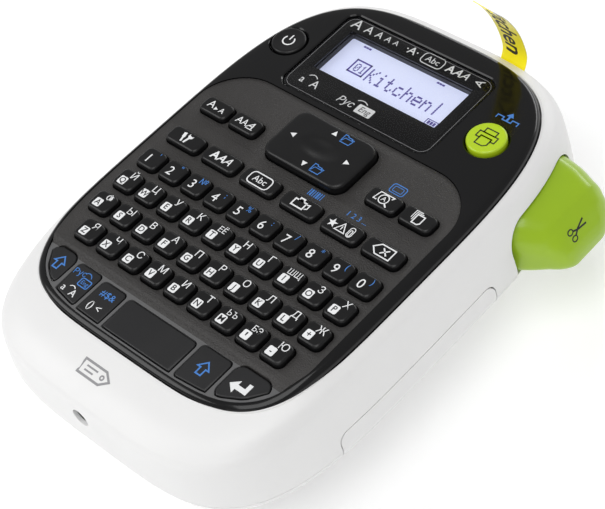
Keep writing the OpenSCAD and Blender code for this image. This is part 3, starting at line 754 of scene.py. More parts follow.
def joined(meshes, name="joined"):
    work = bmesh.new()
    for mesh in meshes:
        work.from_mesh(mesh)
    result = bpy.data.meshes.new(name)
    work.to_mesh(result)
    work.free()
    return result


# %% All the raised keys
for name in ROWS:
    caps = joined([key_cap(at, KEY_W, KEY_D) for at in row_places(name)])
    seat(link_mesh(name.replace("_keys", "_caps"), caps, ["key_satin"], 50), name, "key_black", name)
for name, (x, y, w) in WIDE.items():
    cap = key_cap((x, y), w, 5.6)
    seat(link_mesh(name.replace("_key", "_cap"), cap, ["key_satin"], 50), name, "key_black", name)
print("raised keys:", sum(len(row_places(n)) for n in ROWS) + len(WIDE))

# %% Flush keys of the front strip
for name in STRIP:
    mesh = loft(cap_rings(lambda g: strip_outline(name, -g), 45.6, 47.5, 0.4, 0.35))
    seat(link_mesh(name.replace("_key", "_cap"), mesh, ["strip_satin"], 50), name, "key_black", name)

# %% [markdown]
# ## The navigation pad
#
# A wide black rocker with a thumb dimple. Rings run from the rounded rectangle of its edge to the
# ellipse of the dimple, so the surface flows from one shape to the other.

# %% Pad
PAD_STEPS = 120
pad_angles = [2 * math.pi * (i + 0.5) / PAD_STEPS for i in range(PAD_STEPS)]
pad_edge = [reach(rounded_rect((0, 0), 28.2, 17.8, 3.6, 10), (0, 0), a) for a in pad_angles]
dish_edge = [1 / math.sqrt((math.cos(a) / 7.6)**2 + (math.sin(a) / 3.9)**2) for a in pad_angles]


def pad_ring(radius, z):
    return [(NAV_AT[0] + r * math.cos(a), NAV_AT[1] + r * math.sin(a), z)
            for r, a in zip(radius, pad_angles)]


pad_rings = [pad_ring([r - inset for r in pad_edge], z) for inset, z in (
    (0, 45.7), (0, 49.9), (0.1, 50.25), (0.35, 50.6), (0.75, 50.82), (1.3, 50.9))]
for t in (0.3, 0.6, 0.85, 1.0):
    pad_rings.append(pad_ring([(1 - t) * (r - 1.3) + t * d for r, d in zip(pad_edge, dish_edge)], 50.9))
for share in (0.95, 0.88, 0.78, 0.66, 0.52, 0.36, 0.2, 0.06):
    pad_rings.append(pad_ring([d * share for d in dish_edge], 50.9 - 0.85 * (1 - share**2)**2))
pad = link_mesh("thumb_pad", loft(pad_rings), ["key_satin"], 55)
cut(pad, [rod_tool((NAV_AT[0], NAV_AT[1], 44), 2.4, 2.6, "Z")])
pad.data.set_sharp_from_angle(angle=math.radians(55))
seat(pad, "nav_pad", "key_black", "nav_pad")


# %% Round buttons
def round_cap(name, node, at, r, top, material, slot_name):
    profile = [(r - 0.25, 44.6), (r - 0.25, 47.2), (r, 47.3), (r, top - 0.7)]
    for a in (20, 40, 60, 80):
        bend = math.radians(a)
        profile.append((r - 0.7 * (1 - math.cos(bend)), top - 0.7 + 0.7 * math.sin(bend)))
    profile += [(r - 0.95, top), (r - 1.3, top - 0.03), (r * 0.5, top - 0.16), (r * 0.1, top - 0.2)]
    mesh = loft([[(x, y, z) for x, y in circle(at, radius, 64)] for radius, z in profile])
    return seat(link_mesh(name, mesh, [material], 50), node, slot_name, node)


round_cap("power_cap", "power_button", POWER_AT, 5.1, 49, "key_satin", "button_black")
round_cap("print_cap", "print_button", PRINT_AT, 5.5, 49.8, "lime_button", "button_green")
print("pad and buttons made")


# %% [markdown]
# ## Printed legends
#
# Every key carries a printed symbol. Paint on plastic is a very thin layer, so each symbol is a thin
# closed sheet just above the surface: strokes are ribbons, solid shapes are plates and letters come from
# Blender's own font. Symbols of one colour on one body are joined, so they move with their key.

# %% Ink helpers
INK_SHEETS = {}
INK_THICK = 0.03


def put_ink(mesh, body, colour):
    INK_SHEETS.setdefault((body, colour), []).append(mesh)


def turned(points, at, angle=0.0, scale=1.0):
    c, s = math.cos(math.radians(angle)) * scale, math.sin(math.radians(angle)) * scale
    return [(at[0] + x * c - y * s, at[1] + x * s + y * c) for x, y in points]


def ink_plate(points, z, body, colour):
    put_ink(prism(points, z - 0.005, z + INK_THICK), body, colour)


def ink_line(points, width, z, body, colour, closed=False):
    """A ribbon of even width along a path, mitred at its bends."""
    n = len(points)
    left, right_side = [], []
    for i, (x, y) in enumerate(points):
        before = points[i - 1] if closed or i > 0 else None
        after = points[(i + 1) % n] if closed or i < n - 1 else None
        ways = []
        if before:
            ways.append(Vector((x - before[0], y - before[1])).normalized())
        if after:
            ways.append(Vector((after[0] - x, after[1] - y)).normalized())
        way = sum(ways, Vector((0, 0))).normalized()
        stretch = width / 2 / max(0.45, way.dot(ways[0]))
        left.append((x - way.y * stretch, y + way.x * stretch))
        right_side.append((x + way.y * stretch, y - way.x * stretch))
    verts = [(x, y, h) for h in (z - 0.005, z + INK_THICK) for x, y in left + right_side]
    faces = []
    for i in range(n if closed else n - 1):
        j = (i + 1) % n
        faces += [(i, j, n + j, n + i), (3 * n + i, 3 * n + j, 2 * n + j, 2 * n + i),
                  (j, i, 2 * n + i, 2 * n + j), (n + i, n + j, 3 * n + j, 3 * n + i)]
    if not closed:
        faces += [(0, n, 3 * n, 2 * n), (n - 1, 3 * n - 1, 4 * n - 1, 2 * n - 1)]
    put_ink(mesh_from(verts, faces), body, colour)


def letters_mesh(text, size, shear=0.0, weight=0.0, spacing=1.0):
    curve = bpy.data.curves.new("letters", "FONT")
    curve.body = text
    curve.size = size
    curve.shear = shear
    curve.offset = weight
    curve.space_character = spacing
    curve.align_x = "CENTER"
    curve.align_y = "CENTER"
    curve.extrude = INK_THICK / 2
    curve.resolution_u = 3
    carrier = bpy.data.objects.new("letters", curve)
    mesh = bpy.data.meshes.new_from_object(carrier)
    bpy.data.objects.remove(carrier)
    work = bmesh.new()
    work.from_mesh(mesh)
    bmesh.ops.remove_doubles(work, verts=work.verts, dist=1e-3)
    work.to_mesh(mesh)
    work.free()
    return mesh


def ink_text(text, at, size, z, body, colour, angle=0.0, shear=0.0, weight=0.0, spacing=1.0, narrow=1.0):
    mesh = letters_mesh(text, size, shear, weight, spacing)
    mesh.transform(Matrix.Translation((at[0], at[1], z + INK_THICK / 2 - 0.004))
                   @ Matrix.Rotation(math.radians(angle), 4, "Z") @ Matrix.Diagonal((narrow, 1, 1, 1)))
    mesh.transform(Matrix.Scale(MM, 4))
    put_ink(mesh, body, colour)


def ink_frame(at, w, d, r, width, z, body, colour):
    ink_line(rounded_rect(at, w, d, r, 4), width, z, body, colour, True)


# %% Number and letter keys
DIGITS = ["1", "2", "3", "4", "5", "6", "7", "8", "9", "0"]
MARKS = ["'", "\"", "№", ";", "%", ":", "/", "*", "(", ")"]
LATIN = {"upper_letter_keys": "QWERTYUIOP", "middle_letter_keys": "ASDFGHJKL+",
         "lower_letter_keys": "ZXCVBNM'-"}
SECOND = {"upper_letter_keys": ["Й", "Ц", "У", "К", "ЕЁ", "Н", "Г", "ШЩ", "З", "Х"],
          "middle_letter_keys": ["Ф", "Ы", "В", "А", "П", "Р", "О", "Л", "Д", "Ж"],
          "lower_letter_keys": ["Я", "Ч", "С", "М", "И", "Т", "ЬЪ", "БЭ", "Ю"]}
for (x, y), digit, mark in zip(row_places("number_keys"), DIGITS, MARKS):
    ink_text(digit, (x - 0.7, y - 0.5), 4.1, KEY_TOP, "number_keys", "ink_white")
    ink_text(mark, (x + 1.7, y + 1.5), 2.5, KEY_TOP, "number_keys", "ink_blue")
for name in LATIN:
    for (x, y), latin, second in zip(row_places(name), LATIN[name], SECOND[name]):
        ink_plate(rounded_rect((x - 0.95, y - 0.95), 2.5, 2.7, 0.45, 3), KEY_TOP, name, "ink_white")
        size = 4.2 if latin == "'" else 2.5
        lower_by = 1.9 if latin == "'" else 0.95
        ink_text(latin, (x - 0.95, y - lower_by), size, KEY_TOP + INK_THICK, name, "ink_black", weight=0.03)
        wide = len(second) > 1
        across, tall, squeeze = (0.6, 2.5, 0.95) if wide else (1.1, 3.0, 1.05)
        ink_text(second, (x + across, y + 1.6), tall, KEY_TOP, name, "ink_white", narrow=squeeze)
print("letter legends:", sum(len(v) for v in LATIN.values()))


# %% Symbols of the wide keys
def wide_at(name):
    return WIDE[name][:2]


def symbol(name, paths, width=0.34, scale=1.0, colour="ink_white", shift=(0, 0), closed=True):
    x, y = wide_at(name)
    for path in paths:
        ink_line(turned(path, (x + shift[0], y + shift[1]), 0, scale), width, KEY_TOP, name, colour, closed)


# spanner and screwdriver
x, y = wide_at("settings_key")
spanner = [(-0.3, -1.6), (0.3, -1.6), (0.32, 0.35), (0.85, 0.8), (0.85, 1.7), (0.4, 1.3), (-0.4, 1.3),
           (-0.85, 1.7), (-0.85, 0.8), (-0.32, 0.35)]
ink_plate(turned(spanner, (x + 0.75, y), -14), KEY_TOP, "settings_key", "ink_white")
driver = [(-0.28, -1.6), (0.28, -1.6), (0.28, -0.2), (0.5, 0.1), (0.5, 1.6), (-0.5, 1.6), (-0.5, 0.1),
          (-0.28, -0.2)]
ink_plate(turned(driver, (x - 0.95, y), 12), KEY_TOP, "settings_key", "ink_white")
# letter styles
x, y = wide_at("style_key")
for k, (shear, weight) in enumerate(((0.0, 0.09), (0.25, 0.05), (0.35, 0.0))):
    ink_text("A", (x - 2.3 + 2.3 * k, y), 3.7, KEY_TOP, "style_key", "ink_white",
             shear=shear, weight=weight)
# framed text
x, y = wide_at("frame_key")
ink_frame((x, y), 7.4, 4, 1.3, 0.34, KEY_TOP, "frame_key", "ink_white")
ink_text("Abc", (x, y), 2.9, KEY_TOP, "frame_key", "ink_white")
# tape leaving a cassette
symbol("length_key", [[(-2.4, -1.3), (1.4, -1.3), (1.4, 0.9), (-2.4, 0.9)],
                      [(-1.2, 0.9), (-1.2, 1.7), (0.2, 1.7), (0.2, 0.9)]], 0.42)
symbol("length_key", [[(1.4, 0.5), (2.6, 0.9), (2.6, -0.5), (1.9, -0.9)]], 0.34, closed=False)
# star, warning triangle and clip
x, y = wide_at("symbol_key")
star = [((1.55 if k % 2 == 0 else 0.62) * math.sin(math.pi * k / 5),
         (1.55 if k % 2 == 0 else 0.62) * math.cos(math.pi * k / 5)) for k in range(10)]
ink_plate(turned(star, (x - 3.2, y)), KEY_TOP, "symbol_key", "ink_white")
symbol("symbol_key", [[(-1.6, -1.3), (1.6, -1.3), (0, 1.5)]], 0.3)
ink_plate(rounded_rect((x, y - 0.1), 0.3, 1.2, 0.1, 2), KEY_TOP, "symbol_key", "ink_white")
paper_clip = [rounded_rect((3, 0), 1.5, 3.2, 0.74, 4), rounded_rect((3, -0.3), 0.7, 2, 0.34, 4)]
symbol("symbol_key", paper_clip, 0.24)
# backspace
symbol("backspace_key", [[(-3.2, 0), (-1.5, 1.7), (3, 1.7), (3, -1.7), (-1.5, -1.7)]], 0.36)
for k in (1, -1):
    symbol("backspace_key", [[(-0.4, 0.95 * k), (1.6, -0.95 * k)]], 0.4, closed=False)
# large to small letters
x, y = wide_at("size_key")
ink_text("A", (x - 1.9, y + 0.1), 3.6, KEY_TOP, "size_key", "ink_white")
small_arrow = turned([(-0.6, 0.6), (-0.6, -0.6), (0.6, 0)], (x + 0.35, y - 0.6))
ink_plate(small_arrow, KEY_TOP, "size_key", "ink_white")
ink_text("A", (x + 2.3, y - 0.45), 2.5, KEY_TOP, "size_key", "ink_white")
# wide to narrow letters
x, y = wide_at("width_key")
for k, narrow in enumerate((1.0, 0.85, 1.15)):
    ink_text("A", (x - 2.2 + 2 * k, y), 3.2, KEY_TOP, "width_key", "ink_white",
             shear=0.4 if k == 2 else 0.0, narrow=narrow)
ink_line([(x + 0.9, y - 1.2), (x + 3.4, y - 1.2)], 0.26, KEY_TOP, "width_key", "ink_white")
# preview lens
x, y = wide_at("preview_key")
ink_line(circle((x, y), 1.45, 28), 0.3, KEY_TOP, "preview_key", "ink_white", True)
ink_text("A", (x, y), 2.1, KEY_TOP, "preview_key", "ink_white")
ink_line([(x + 1.1, y - 1.1), (x + 2.1, y - 2)], 0.42, KEY_TOP, "preview_key", "ink_white")
ink_line([(x - 1.7, y - 1), (x - 2.8, y - 1), (x - 2.2, y + 1.7), (x + 2.4, y + 1.7), (x + 1.9, y + 0.9)],
         0.3, KEY_TOP, "preview_key", "ink_white")
# copies
symbol("copies_key", [[(-0.6, -1.9), (1.1, -1.9), (1.7, -1.3), (1.7, 1), (-0.6, 1)]], 0.36)
for k in (1, 2):
    symbol("copies_key", [[(-0.6 - 0.55 * k, -1.7 + 0.5 * k), (-0.6 - 0.55 * k, 1 + 0.45 * k),
                           (1.5 - 0.5 * k, 1 + 0.45 * k)]], 0.24, closed=False)

# %% Symbols of the flush strip
STRIP_TOP = 47.5


def strip_at(name):
    left, right_edge, front, back, r = STRIP[name]
    return (left + right_edge) / 2, (front + back) / 2


ARROW_UP = [(-0.85, -1.9), (0.85, -1.9), (0.85, 0.1), (1.9, 0.1), (0, 2.2), (-1.9, 0.1), (-0.85, 0.1)]
for name, shift in (("left_shift_key", (0.6, 0.9)), ("right_shift_key", (0, 0))):
    x, y = strip_at(name)
    ink_line(turned(ARROW_UP, (x + shift[0], y + shift[1])), 0.42, STRIP_TOP, name, "ink_blue", True)
x, y = strip_at("language_key")
ink_text("Рус", (x - 1.9, y + 3.1), 2.5, STRIP_TOP, "language_key", "ink_blue", angle=8)
ink_frame((x + 1.8, y + 1.2), 3.5, 2.5, 0.5, 0.3, STRIP_TOP, "language_key", "ink_blue")
ink_text("Eng", (x + 1.8, y + 1.2), 1.8, STRIP_TOP, "language_key", "ink_blue")
ink_line([(x - 0.2 + 0.5 * k, y + 4.3 - 0.12 * (k - 2)**2) for k in range(6)], 0.25, STRIP_TOP,
         "language_key", "ink_blue")
ink_text("a", (x - 2.2, y - 2.6), 3.1, STRIP_TOP, "language_key", "ink_white")
ink_text("A", (x + 1.5, y - 2.9), 3.1, STRIP_TOP, "language_key", "ink_white")
ink_line([(x - 1 + 0.5 * k, y - 0.9 - 0.14 * (k - 2)**2) for k in range(5)], 0.25, STRIP_TOP,
         "language_key", "ink_white")
x, y = strip_at("accent_key")
ink_text("#$&", (x + 0.2, y + 2.6), 2.9, STRIP_TOP, "accent_key", "ink_blue")
ink_text("() <", (x - 0.4, y - 1.9), 3.1, STRIP_TOP, "accent_key", "ink_white")
x, y = strip_at("enter_key")
ink_plate(turned([(-2.9, -0.4), (-0.6, 1.6), (-0.6, 0.3), (1.7, 0.3), (1.7, 2.1), (2.9, 2.1), (2.9, -1.1),
                  (-0.6, -1.1), (-0.6, -2.4)], (x - 1.2, y)), STRIP_TOP, "enter_key", "ink_white")

# %% Pad, buttons and the marks on the field
PAD_TOP = 50.9
TRIANGLE = [(0, 1), (-0.85, -0.65), (0.85, -0.65)]
for dx, dy, angle in ((-9.6, 0, 90), (9.6, 0, -90), (0, 6.3, 0), (0, -6.3, 180)):
    ink_plate(turned(TRIANGLE, (NAV_AT[0] + dx, NAV_AT[1] + dy), angle), PAD_TOP, "nav_pad", "ink_white")
FOLDER = [(-1.6, -1.2), (1.4, -1.2), (1.9, 0.8), (1.1, 0.8), (1.1, 1.1), (-0.3, 1.1), (-0.6, 1.5),
          (-1.6, 1.5)]
for dy in (6.1, -6.1):
    place = (NAV_AT[0] + 4.4, NAV_AT[1] + dy)
    ink_line(turned(FOLDER, place), 0.26, PAD_TOP, "nav_pad", "ink_blue", True)
    ink_line(turned([(-1.6, -1.2), (-0.9, 0.5), (1.9, 0.5)], place), 0.22, PAD_TOP, "nav_pad", "ink_blue")

POWER_TOP = 48.86
arc = [(1.75 * math.sin(math.radians(a)), 1.75 * math.cos(math.radians(a))) for a in range(38, 323, 15)]
ink_line(turned(arc, POWER_AT), 0.42, POWER_TOP, "power_button", "ink_white")
ink_line(turned([(0, 0.3), (0, 2.3)], POWER_AT), 0.42, POWER_TOP, "power_button", "ink_white")

PRINT_TOP = 49.7
PRINTER = [[(-2.6, -0.7), (-2.6, 1.1), (2.6, 1.1), (2.6, -0.7), (1.5, -0.7), (1.5, 0), (-1.5, 0),
            (-1.5, -0.7)],
           [(-1.6, 1.1), (-1.6, 2.5), (1.6, 2.5), (1.6, 1.1)],
           [(-1.5, 0), (-1.5, -2.6), (0.7, -2.6), (1.5, -1.9), (1.5, 0)]]
for path in PRINTER:
    ink_line(turned(path, PRINT_AT, 0, 1.15), 0.34, PRINT_TOP, "print_button", "ink_black", True)

FIELD_TOP = 48.35
PANEL_TOP = 48.6
for k, width in enumerate((0.3, 0.5, 0.25, 0.3, 0.55, 0.3, 0.25)):
    ink_line([(5.2 + 0.72 * k, 4.4), (5.2 + 0.72 * k, 6.6)], width, FIELD_TOP, "case", "ink_blue")
ink_text("1 2 3 ...", (21.9, 5.4), 2.4, FIELD_TOP, "case", "ink_blue")
ink_frame((24.6, 18.6), 4.6, 3, 0.8, 0.28, FIELD_TOP, "case", "ink_blue")
ink_frame((24.6, 18.6), 3, 1.7, 0.4, 0.2, FIELD_TOP, "case", "ink_blue")
ink_line([(29.6, 52.4), (29.6, 53.6), (31.6, 53.6), (31.6, 52.6), (34.4, 52.6), (34.4, 53.6), (36.4, 53.6),
          (36.4, 52.4)], 0.34, PANEL_TOP, "case", "ink_blue")
out_arrow = [(-0.3, -1), (0.3, -1), (0.3, 0.5), (1.1, 0.5), (0, 2), (-1.1, 0.5), (-0.3, 0.5)]
ink_plate(turned(out_arrow, (33, 53.8)), PANEL_TOP, "case", "ink_blue")
print("ink sheets:", len(INK_SHEETS))

# %% [markdown]
# ## Window and display
#
# A clear cover lies over a black printed mask, and the display sits a few millimetres deeper, so it
# shifts a little against the mask when the view changes. The characters are built dot by dot from a
# five by seven grid, because that is how such a display draws them.

# %% Window
window_outline = rounded_rect(WINDOW_AT, 53, 31.6, 3.3, 10)
mask = plate_mesh([window_outline, rounded_rect(LCD_AT, LCD[0], LCD[1], 0.5, 3)], 47.42, 47.95, 0.05, 1)
seat(link_mesh("window_mask", mask, ["panel_gloss"]), "case", "panel_black")
cover_plate = plate_mesh([rounded_rect(WINDOW_AT, 53, 31.6, 3.3, 10)], 48.0, 48.3, 0.1, 2)
seat(link_mesh("window_cover", cover_plate, ["window_glass"]), "case", "window_clear", "display_window")

MASK_TOP = 47.96
ink_frame(WINDOW_AT, 51.5, 30.1, 2.9, 0.13, MASK_TOP, "case", "ink_grey")
x = WINDOW_AT[0]
for k, size in enumerate((5.0, 4.1, 3.5, 3.0, 2.5)):
    ink_text("A", (x - 22.4 + (0, 4.4, 8.2, 11.5, 14.4)[k], 60.1), size, MASK_TOP, "case", "ink_white")
ink_text("·A·", (x - 2.1, 60.2), 3.8, MASK_TOP, "case", "ink_white", weight=0.03)
ink_frame((x + 5.3, 60.2), 7.2, 3.9, 1.2, 0.28, MASK_TOP, "case", "ink_white")
ink_text("Abc", (x + 5.3, 60.2), 2.9, MASK_TOP, "case", "ink_white")
for k, (shear, weight) in enumerate(((0.0, 0.08), (0.25, 0.05), (0.3, 0.0))):
    ink_text("A", (x + 11.6 + 2.5 * k, 60.2), 3.7, MASK_TOP, "case", "ink_white",
             shear=shear, weight=weight)
ink_text("A", (x + 21.8, 60.2), 3.7, MASK_TOP, "case", "ink_white", angle=90)
ink_text("a", (x - 21.4, 35.6), 3.6, MASK_TOP, "case", "ink_white")
ink_text("A", (x - 16.8, 35.6), 4.0, MASK_TOP, "case", "ink_white")
small_arc = [(x - 20.6 + 0.6 * k, 38.4 - 0.12 * (k - 2.5)**2) for k in range(6)]
ink_line(small_arc, 0.26, MASK_TOP, "case", "ink_white")
ink_text("Рус", (x - 5.2, 35.4), 3.3, MASK_TOP, "case", "ink_white", shear=0.25)
wide_arc = [(x - 2.4 + 0.7 * k, 38.2 - 0.1 * (k - 2.5)**2) for k in range(6)]
ink_line(wide_arc, 0.26, MASK_TOP, "case", "ink_white")
ink_plate(rounded_rect((x + 1.8, 35.4), 5.6, 3.2, 0.4, 3), MASK_TOP, "case", "ink_white")
ink_text("Eng", (x + 1.8, 35.4), 2.7, MASK_TOP + INK_THICK, "case", "ink_black", shear=0.15)

# %% Dots of the display
GLYPHS = {
    "K": ["10001", "10010", "10100", "11000", "10100", "10010", "10001"],
    "i": ["00100", "00000", "01100", "00100", "00100", "00100", "01110"],
    "t": ["01000", "01000", "11100", "01000", "01000", "01001", "00110"],
    "c": ["00000", "00000", "01110", "10000", "10000", "10001", "01110"],
    "h": ["10000", "10000", "10110", "11001", "10001", "10001", "10001"],
    "e": ["00000", "00000", "01110", "10001", "11111", "10000", "01110"],
    "n": ["00000", "00000", "10110", "11001", "10001", "10001", "10001"],
    "0": ["01110", "10001", "10011", "10101", "11001", "10001", "01110"],
    "1": ["00100", "01100", "00100", "00100", "00100", "00100", "01110"],
    "|": ["00100", "00100", "00100", "00100", "00100", "00100", "00100"],
}
LCD_TOP = 45.15


def dot(x, y, w, d, z=LCD_TOP):
    box = prism([(x, y), (x + w, y), (x + w, y + d), (x, y + d)], z + 0.01, z + 0.06)
    return box


dots = []
left_edge, low_edge = LCD_AT[0] - LCD[0] / 2, LCD_AT[1] - LCD[1] / 2


def dot_word(word, x, y, cell, tall):
    for n, letter in enumerate(word):
        for row, bits in enumerate(GLYPHS[letter]):
            for column, bit in enumerate(bits):
                if bit == "1":
                    left, low = x + (6 * n + column) * cell, y + (6 - row) * tall
                    dots.append(dot(left, low, cell * 0.86, tall * 0.86))


dot_word("Kitchen|", left_edge + 13.2, low_edge + 5.2, 0.56, 0.72)
dot_word("01", left_edge + 7.9, low_edge + 6.6, 0.34, 0.44)
for x, y, w, d in ((6.6, 5.6, 5.6, 0.5), (6.6, 10.4, 5.6, 0.5), (6.6, 5.6, 0.5, 5.3), (11.7, 5.6, 0.5, 5.3)):
    dots.append(dot(left_edge + x, low_edge + y, w, d))
for x, y in ((4.8, 15.2), (31.6, 15.2), (2.2, 0.9), (15.6, 0.9)):
    for k in range(3):
        dots.append(dot(left_edge + x + 0.95 * k, low_edge + y, 0.8, 0.6))
for k in range(3):
    dots.append(dot(left_edge + 38.9 + 0.95 * k, low_edge + 2.1, 0.7, 1.2))
battery_sides = ((38.4, 1.6, 3.6, 0.25), (38.4, 3.55, 3.6, 0.25), (41.9, 1.6, 0.25, 2.2),
                 (38.2, 1.6, 0.25, 2.2))
for x, y, w, d in battery_sides:
    dots.append(dot(left_edge + x, low_edge + y, w, d))
seat(link_mesh("display_dots", joined(dots), ["lcd_pixel"], 0), "case", "lcd_glass")
print("display dots:", len(dots))

# %% [markdown]
# ## The cutter lever
#
# The lime lever is a soft wedge that grows out of the side wall: a top face slopes gently to a ridge,
# then a nearly flat outer face falls away with a scissors mark on it. Sections along X, close together
# at the ridge, give that edge its radius. The hub on the hidden steel pin is joined on.

# %% Lever body
LEVER_ROWS = np.array([
    [44.8, 27.2, 60.2, 22.75, 40.15, 7.0], [46.4, 27.2, 60.2, 22.75, 40.1, 7.0],
    [51, 28.2, 60.0, 22.7, 39.5, 7.4], [55, 30.4, 59.4, 22.7, 38.0, 7.5],
    [57.6, 32.4, 58.9, 22.7, 36.7, 7.2], [58.9, 33.4, 58.3, 22.7, 35.4, 6.8],
    [60.6, 34.4, 57.4, 22.75, 33.5, 6.0], [62.2, 35.6, 55.6, 22.9, 31.0, 4.8],
    [63.2, 36.7, 53.8, 23.2, 29.4, 3.7], [63.9, 38.2, 51.8, 23.7, 27.9, 2.4],
    [64.15, 39.4, 50.2, 24.2, 26.9, 1.4]])
lever_path = smooth_levels(LEVER_ROWS, 4)
lever_rings = []
for x, y0, y1, z0, z1, r in lever_path:
    high = min(r, (z1 - z0) * 0.55)
    outline = soft_rect(y0, y1, z0, z1, min(3.0, (z1 - z0) - high - 0.05), high)
    lever_rings.append([(x, y, z) for y, z in outline])
lever = link_mesh("cutter_lever", loft(lever_rings), ["lime_lever"], 60)
LEVER_AT = (43, 56)
hub = tool_piece(prism(circle(LEVER_AT, 3), 29.2, 37.4))
arm = box_tool((43, 46.6), (53.8, 58.2), (29.2, 37.4))
cut(lever, [hub, arm], "UNION")
cut(lever, [rod_tool((*LEVER_AT, 20), 1.66, 30, "Z")])
lever.data.set_sharp_from_angle(angle=math.radians(60))
seat(lever, "cut_lever", "lever_green", "cut_lever")

# %% Scissors mark, laid on the outer face
def draped(mesh, target, toward_way, lift):
    """Move each point of a flat mesh along a direction until it lies on the target surface."""
    tree = BVHTree.FromPolygons([v.co for v in target.data.vertices],
                                [p.vertices for p in target.data.polygons])
    for vert in mesh.vertices:
        hit = tree.ray_cast(vert.co - toward_way * 0.05, toward_way)[0]
        if hit:
            vert.co = hit - toward_way * lift
    return mesh


def scissors():
    parts = []
    for side in (1, -1):
        loop = [(side * 0.95 + 0.62 * math.cos(a), -1.9 + 0.8 * math.sin(a))
                for a in np.linspace(0, 2 * math.pi, 18, endpoint=False)]
        parts.append((loop, 0.3, True))
        parts.append(([(side * 0.62, -1.2), (-side * 0.12, 0.3), (-side * 0.75, 2.9)], 0.42, False))
    return parts


ICON_AT, ICON_UP, ICON_OUT = Vector((61.2, 43.6, 32)), Vector((-0.1, 0.98, 0.1)), Vector((0.76, 0, 0.65))
face_up = (ICON_UP - ICON_OUT * ICON_UP.dot(ICON_OUT)).normalized()
face_out = ICON_OUT.normalized()
face_right = face_up.cross(face_out)
for path, width, closed in scissors():
    ink_line(path, width, 0, "scratch", "ink_black", closed)
marks_flat = joined(INK_SHEETS.pop(("scratch", "ink_black")))
stamp = Matrix((face_right, face_up, face_out)).transposed().to_4x4()
marks_flat.transform(Matrix.Scale(1.15, 4))
levels = [v.co.z for v in marks_flat.vertices]
marks_flat.transform(Matrix.Translation((ICON_AT + face_out * 4) * MM) @ stamp)
draped(marks_flat, lever, -face_out, 0.0)
for vert, level_z in zip(marks_flat.vertices, levels):
    vert.co += face_out * (0.00004 if level_z > 0.00001 else -0.00002)
seat(link_mesh("scissors_mark", marks_flat, ["ink_black"], 0), "cut_lever", "lever_green")

# %% [markdown]
# ## The printed label
#
# The tape leaves its slot at forty five degrees and curls forward, because it was wound on a spool. It
# is a ribbon swept along the same path as the model, yellow film on its printed side and grey paper on
# the other, with a slight twist towards its free end. The letters are bent along the path.


# %% Path of the label
def curl(at, r, a0, a1, steps):
    points = []
    for i in range(steps + 1):
        a = math.radians(a0 + (a1 - a0) * i / steps)
        start = math.radians(a0)
        points.append((at[0] + r * (math.sin(a) - math.sin(start)),
                       at[1] + r * (math.cos(start) - math.cos(a)), a))
    return points


EXIT_AT = (74.0, 44.3)
first = curl((73.4, 73.4 + EXIT_AT[1] - EXIT_AT[0]), 6.4, 45, 97, 16)
second = curl(first[-1][:2], 44, 97, 131, 30)
path = [(69.1, 69.1 + EXIT_AT[1] - EXIT_AT[0], math.radians(45)), *first, *second[1:]]
path = np.array(path)
lengths = np.concatenate([[0], np.cumsum(np.hypot(*np.diff(path[:, :2], axis=0).T))])
TAPE_X, TAPE_W, TAPE_T = 18.0, 8.4, 0.4


def tape_point(s, across, out):
    """Point on the label: s along it, across towards +X, out towards its printed face."""
    y, z, a = (float(np.interp(s, lengths, path[:, k])) for k in range(3))
    t = s / lengths[-1]
    twist = math.radians(13) * max(0.0, t - 0.45) ** 1.6
    x = TAPE_X + across * math.cos(twist)
    push = out + across * math.sin(twist)
    return (x, y - push * math.sin(a), z + push * math.cos(a))


rings = []
for k in range(81):
    share = k / 80
    ring = []
    for across, out in ((-TAPE_W / 2, -TAPE_T / 2), (TAPE_W / 2, -TAPE_T / 2), (TAPE_W / 2, TAPE_T / 2),
                        (-TAPE_W / 2, TAPE_T / 2)):
        longer = 0.0 if across < 0 else 2.0
        ring.append(tape_point(min(lengths[-1], share * (lengths[-1] - 2.0 + longer)), across, out * 0.5))
    rings.append(ring)
label = link_mesh("printed_label", loft(rings), ["tape_backing", "tape_film"], 30)
for polygon in label.data.polygons:
    centre, normal = polygon.center, polygon.normal
    if normal.y < -0.25 or normal.z > 0.55 and normal.y < 0.1:
        polygon.material_index = 1
seat(label, "case", "tape_yellow", "label_tape")

word = letters_mesh("Kitchen", 8.0, 0.22, 0.12)
work = bmesh.new()
work.from_mesh(word)
bmesh.ops.subdivide_edges(work, edges=[e for e in work.edges if e.calc_length() > 1.2], cuts=2)
work.to_mesh(word)
work.free()
for vert in word.vertices:
    s = 22.2 - vert.co.x
    vert.co = Vector(tape_point(s, vert.co.y - 0.3, TAPE_T / 4 + 0.03 + vert.co.z)) * MM
seat(link_mesh("label_print", word, ["ink_black"], 0), "case", "tape_yellow")
print("label length:", round(float(lengths[-1]), 1))

# %% [markdown]
# ## Socket, screws and the small grey mark
#
# The power socket is a turned shape: a chamfered collar, a deep bore and a centre pin. The four screws
# show only from below. A small grey tag outline marks the front slope, where a maker would print a name.


# %% Turned parts
def lathe(profile, place, axis, steps=48):
    """Closed ring profile of (radius, distance) turned about an axis from a place."""
    rings = [[(r * math.cos(2 * math.pi * i / steps), r * math.sin(2 * math.pi * i / steps), d)
              for i in range(steps)] for r, d in profile]
    mesh = loft([*rings, rings[0]], False, False) if profile[0][0] > 0.2 else loft(rings)
    turn = Matrix.Rotation(math.radians(90), 4, "X") if axis == "-Y" else Matrix()
    mesh.transform(Matrix.Translation(Vector(place) * MM) @ turn)
    return mesh


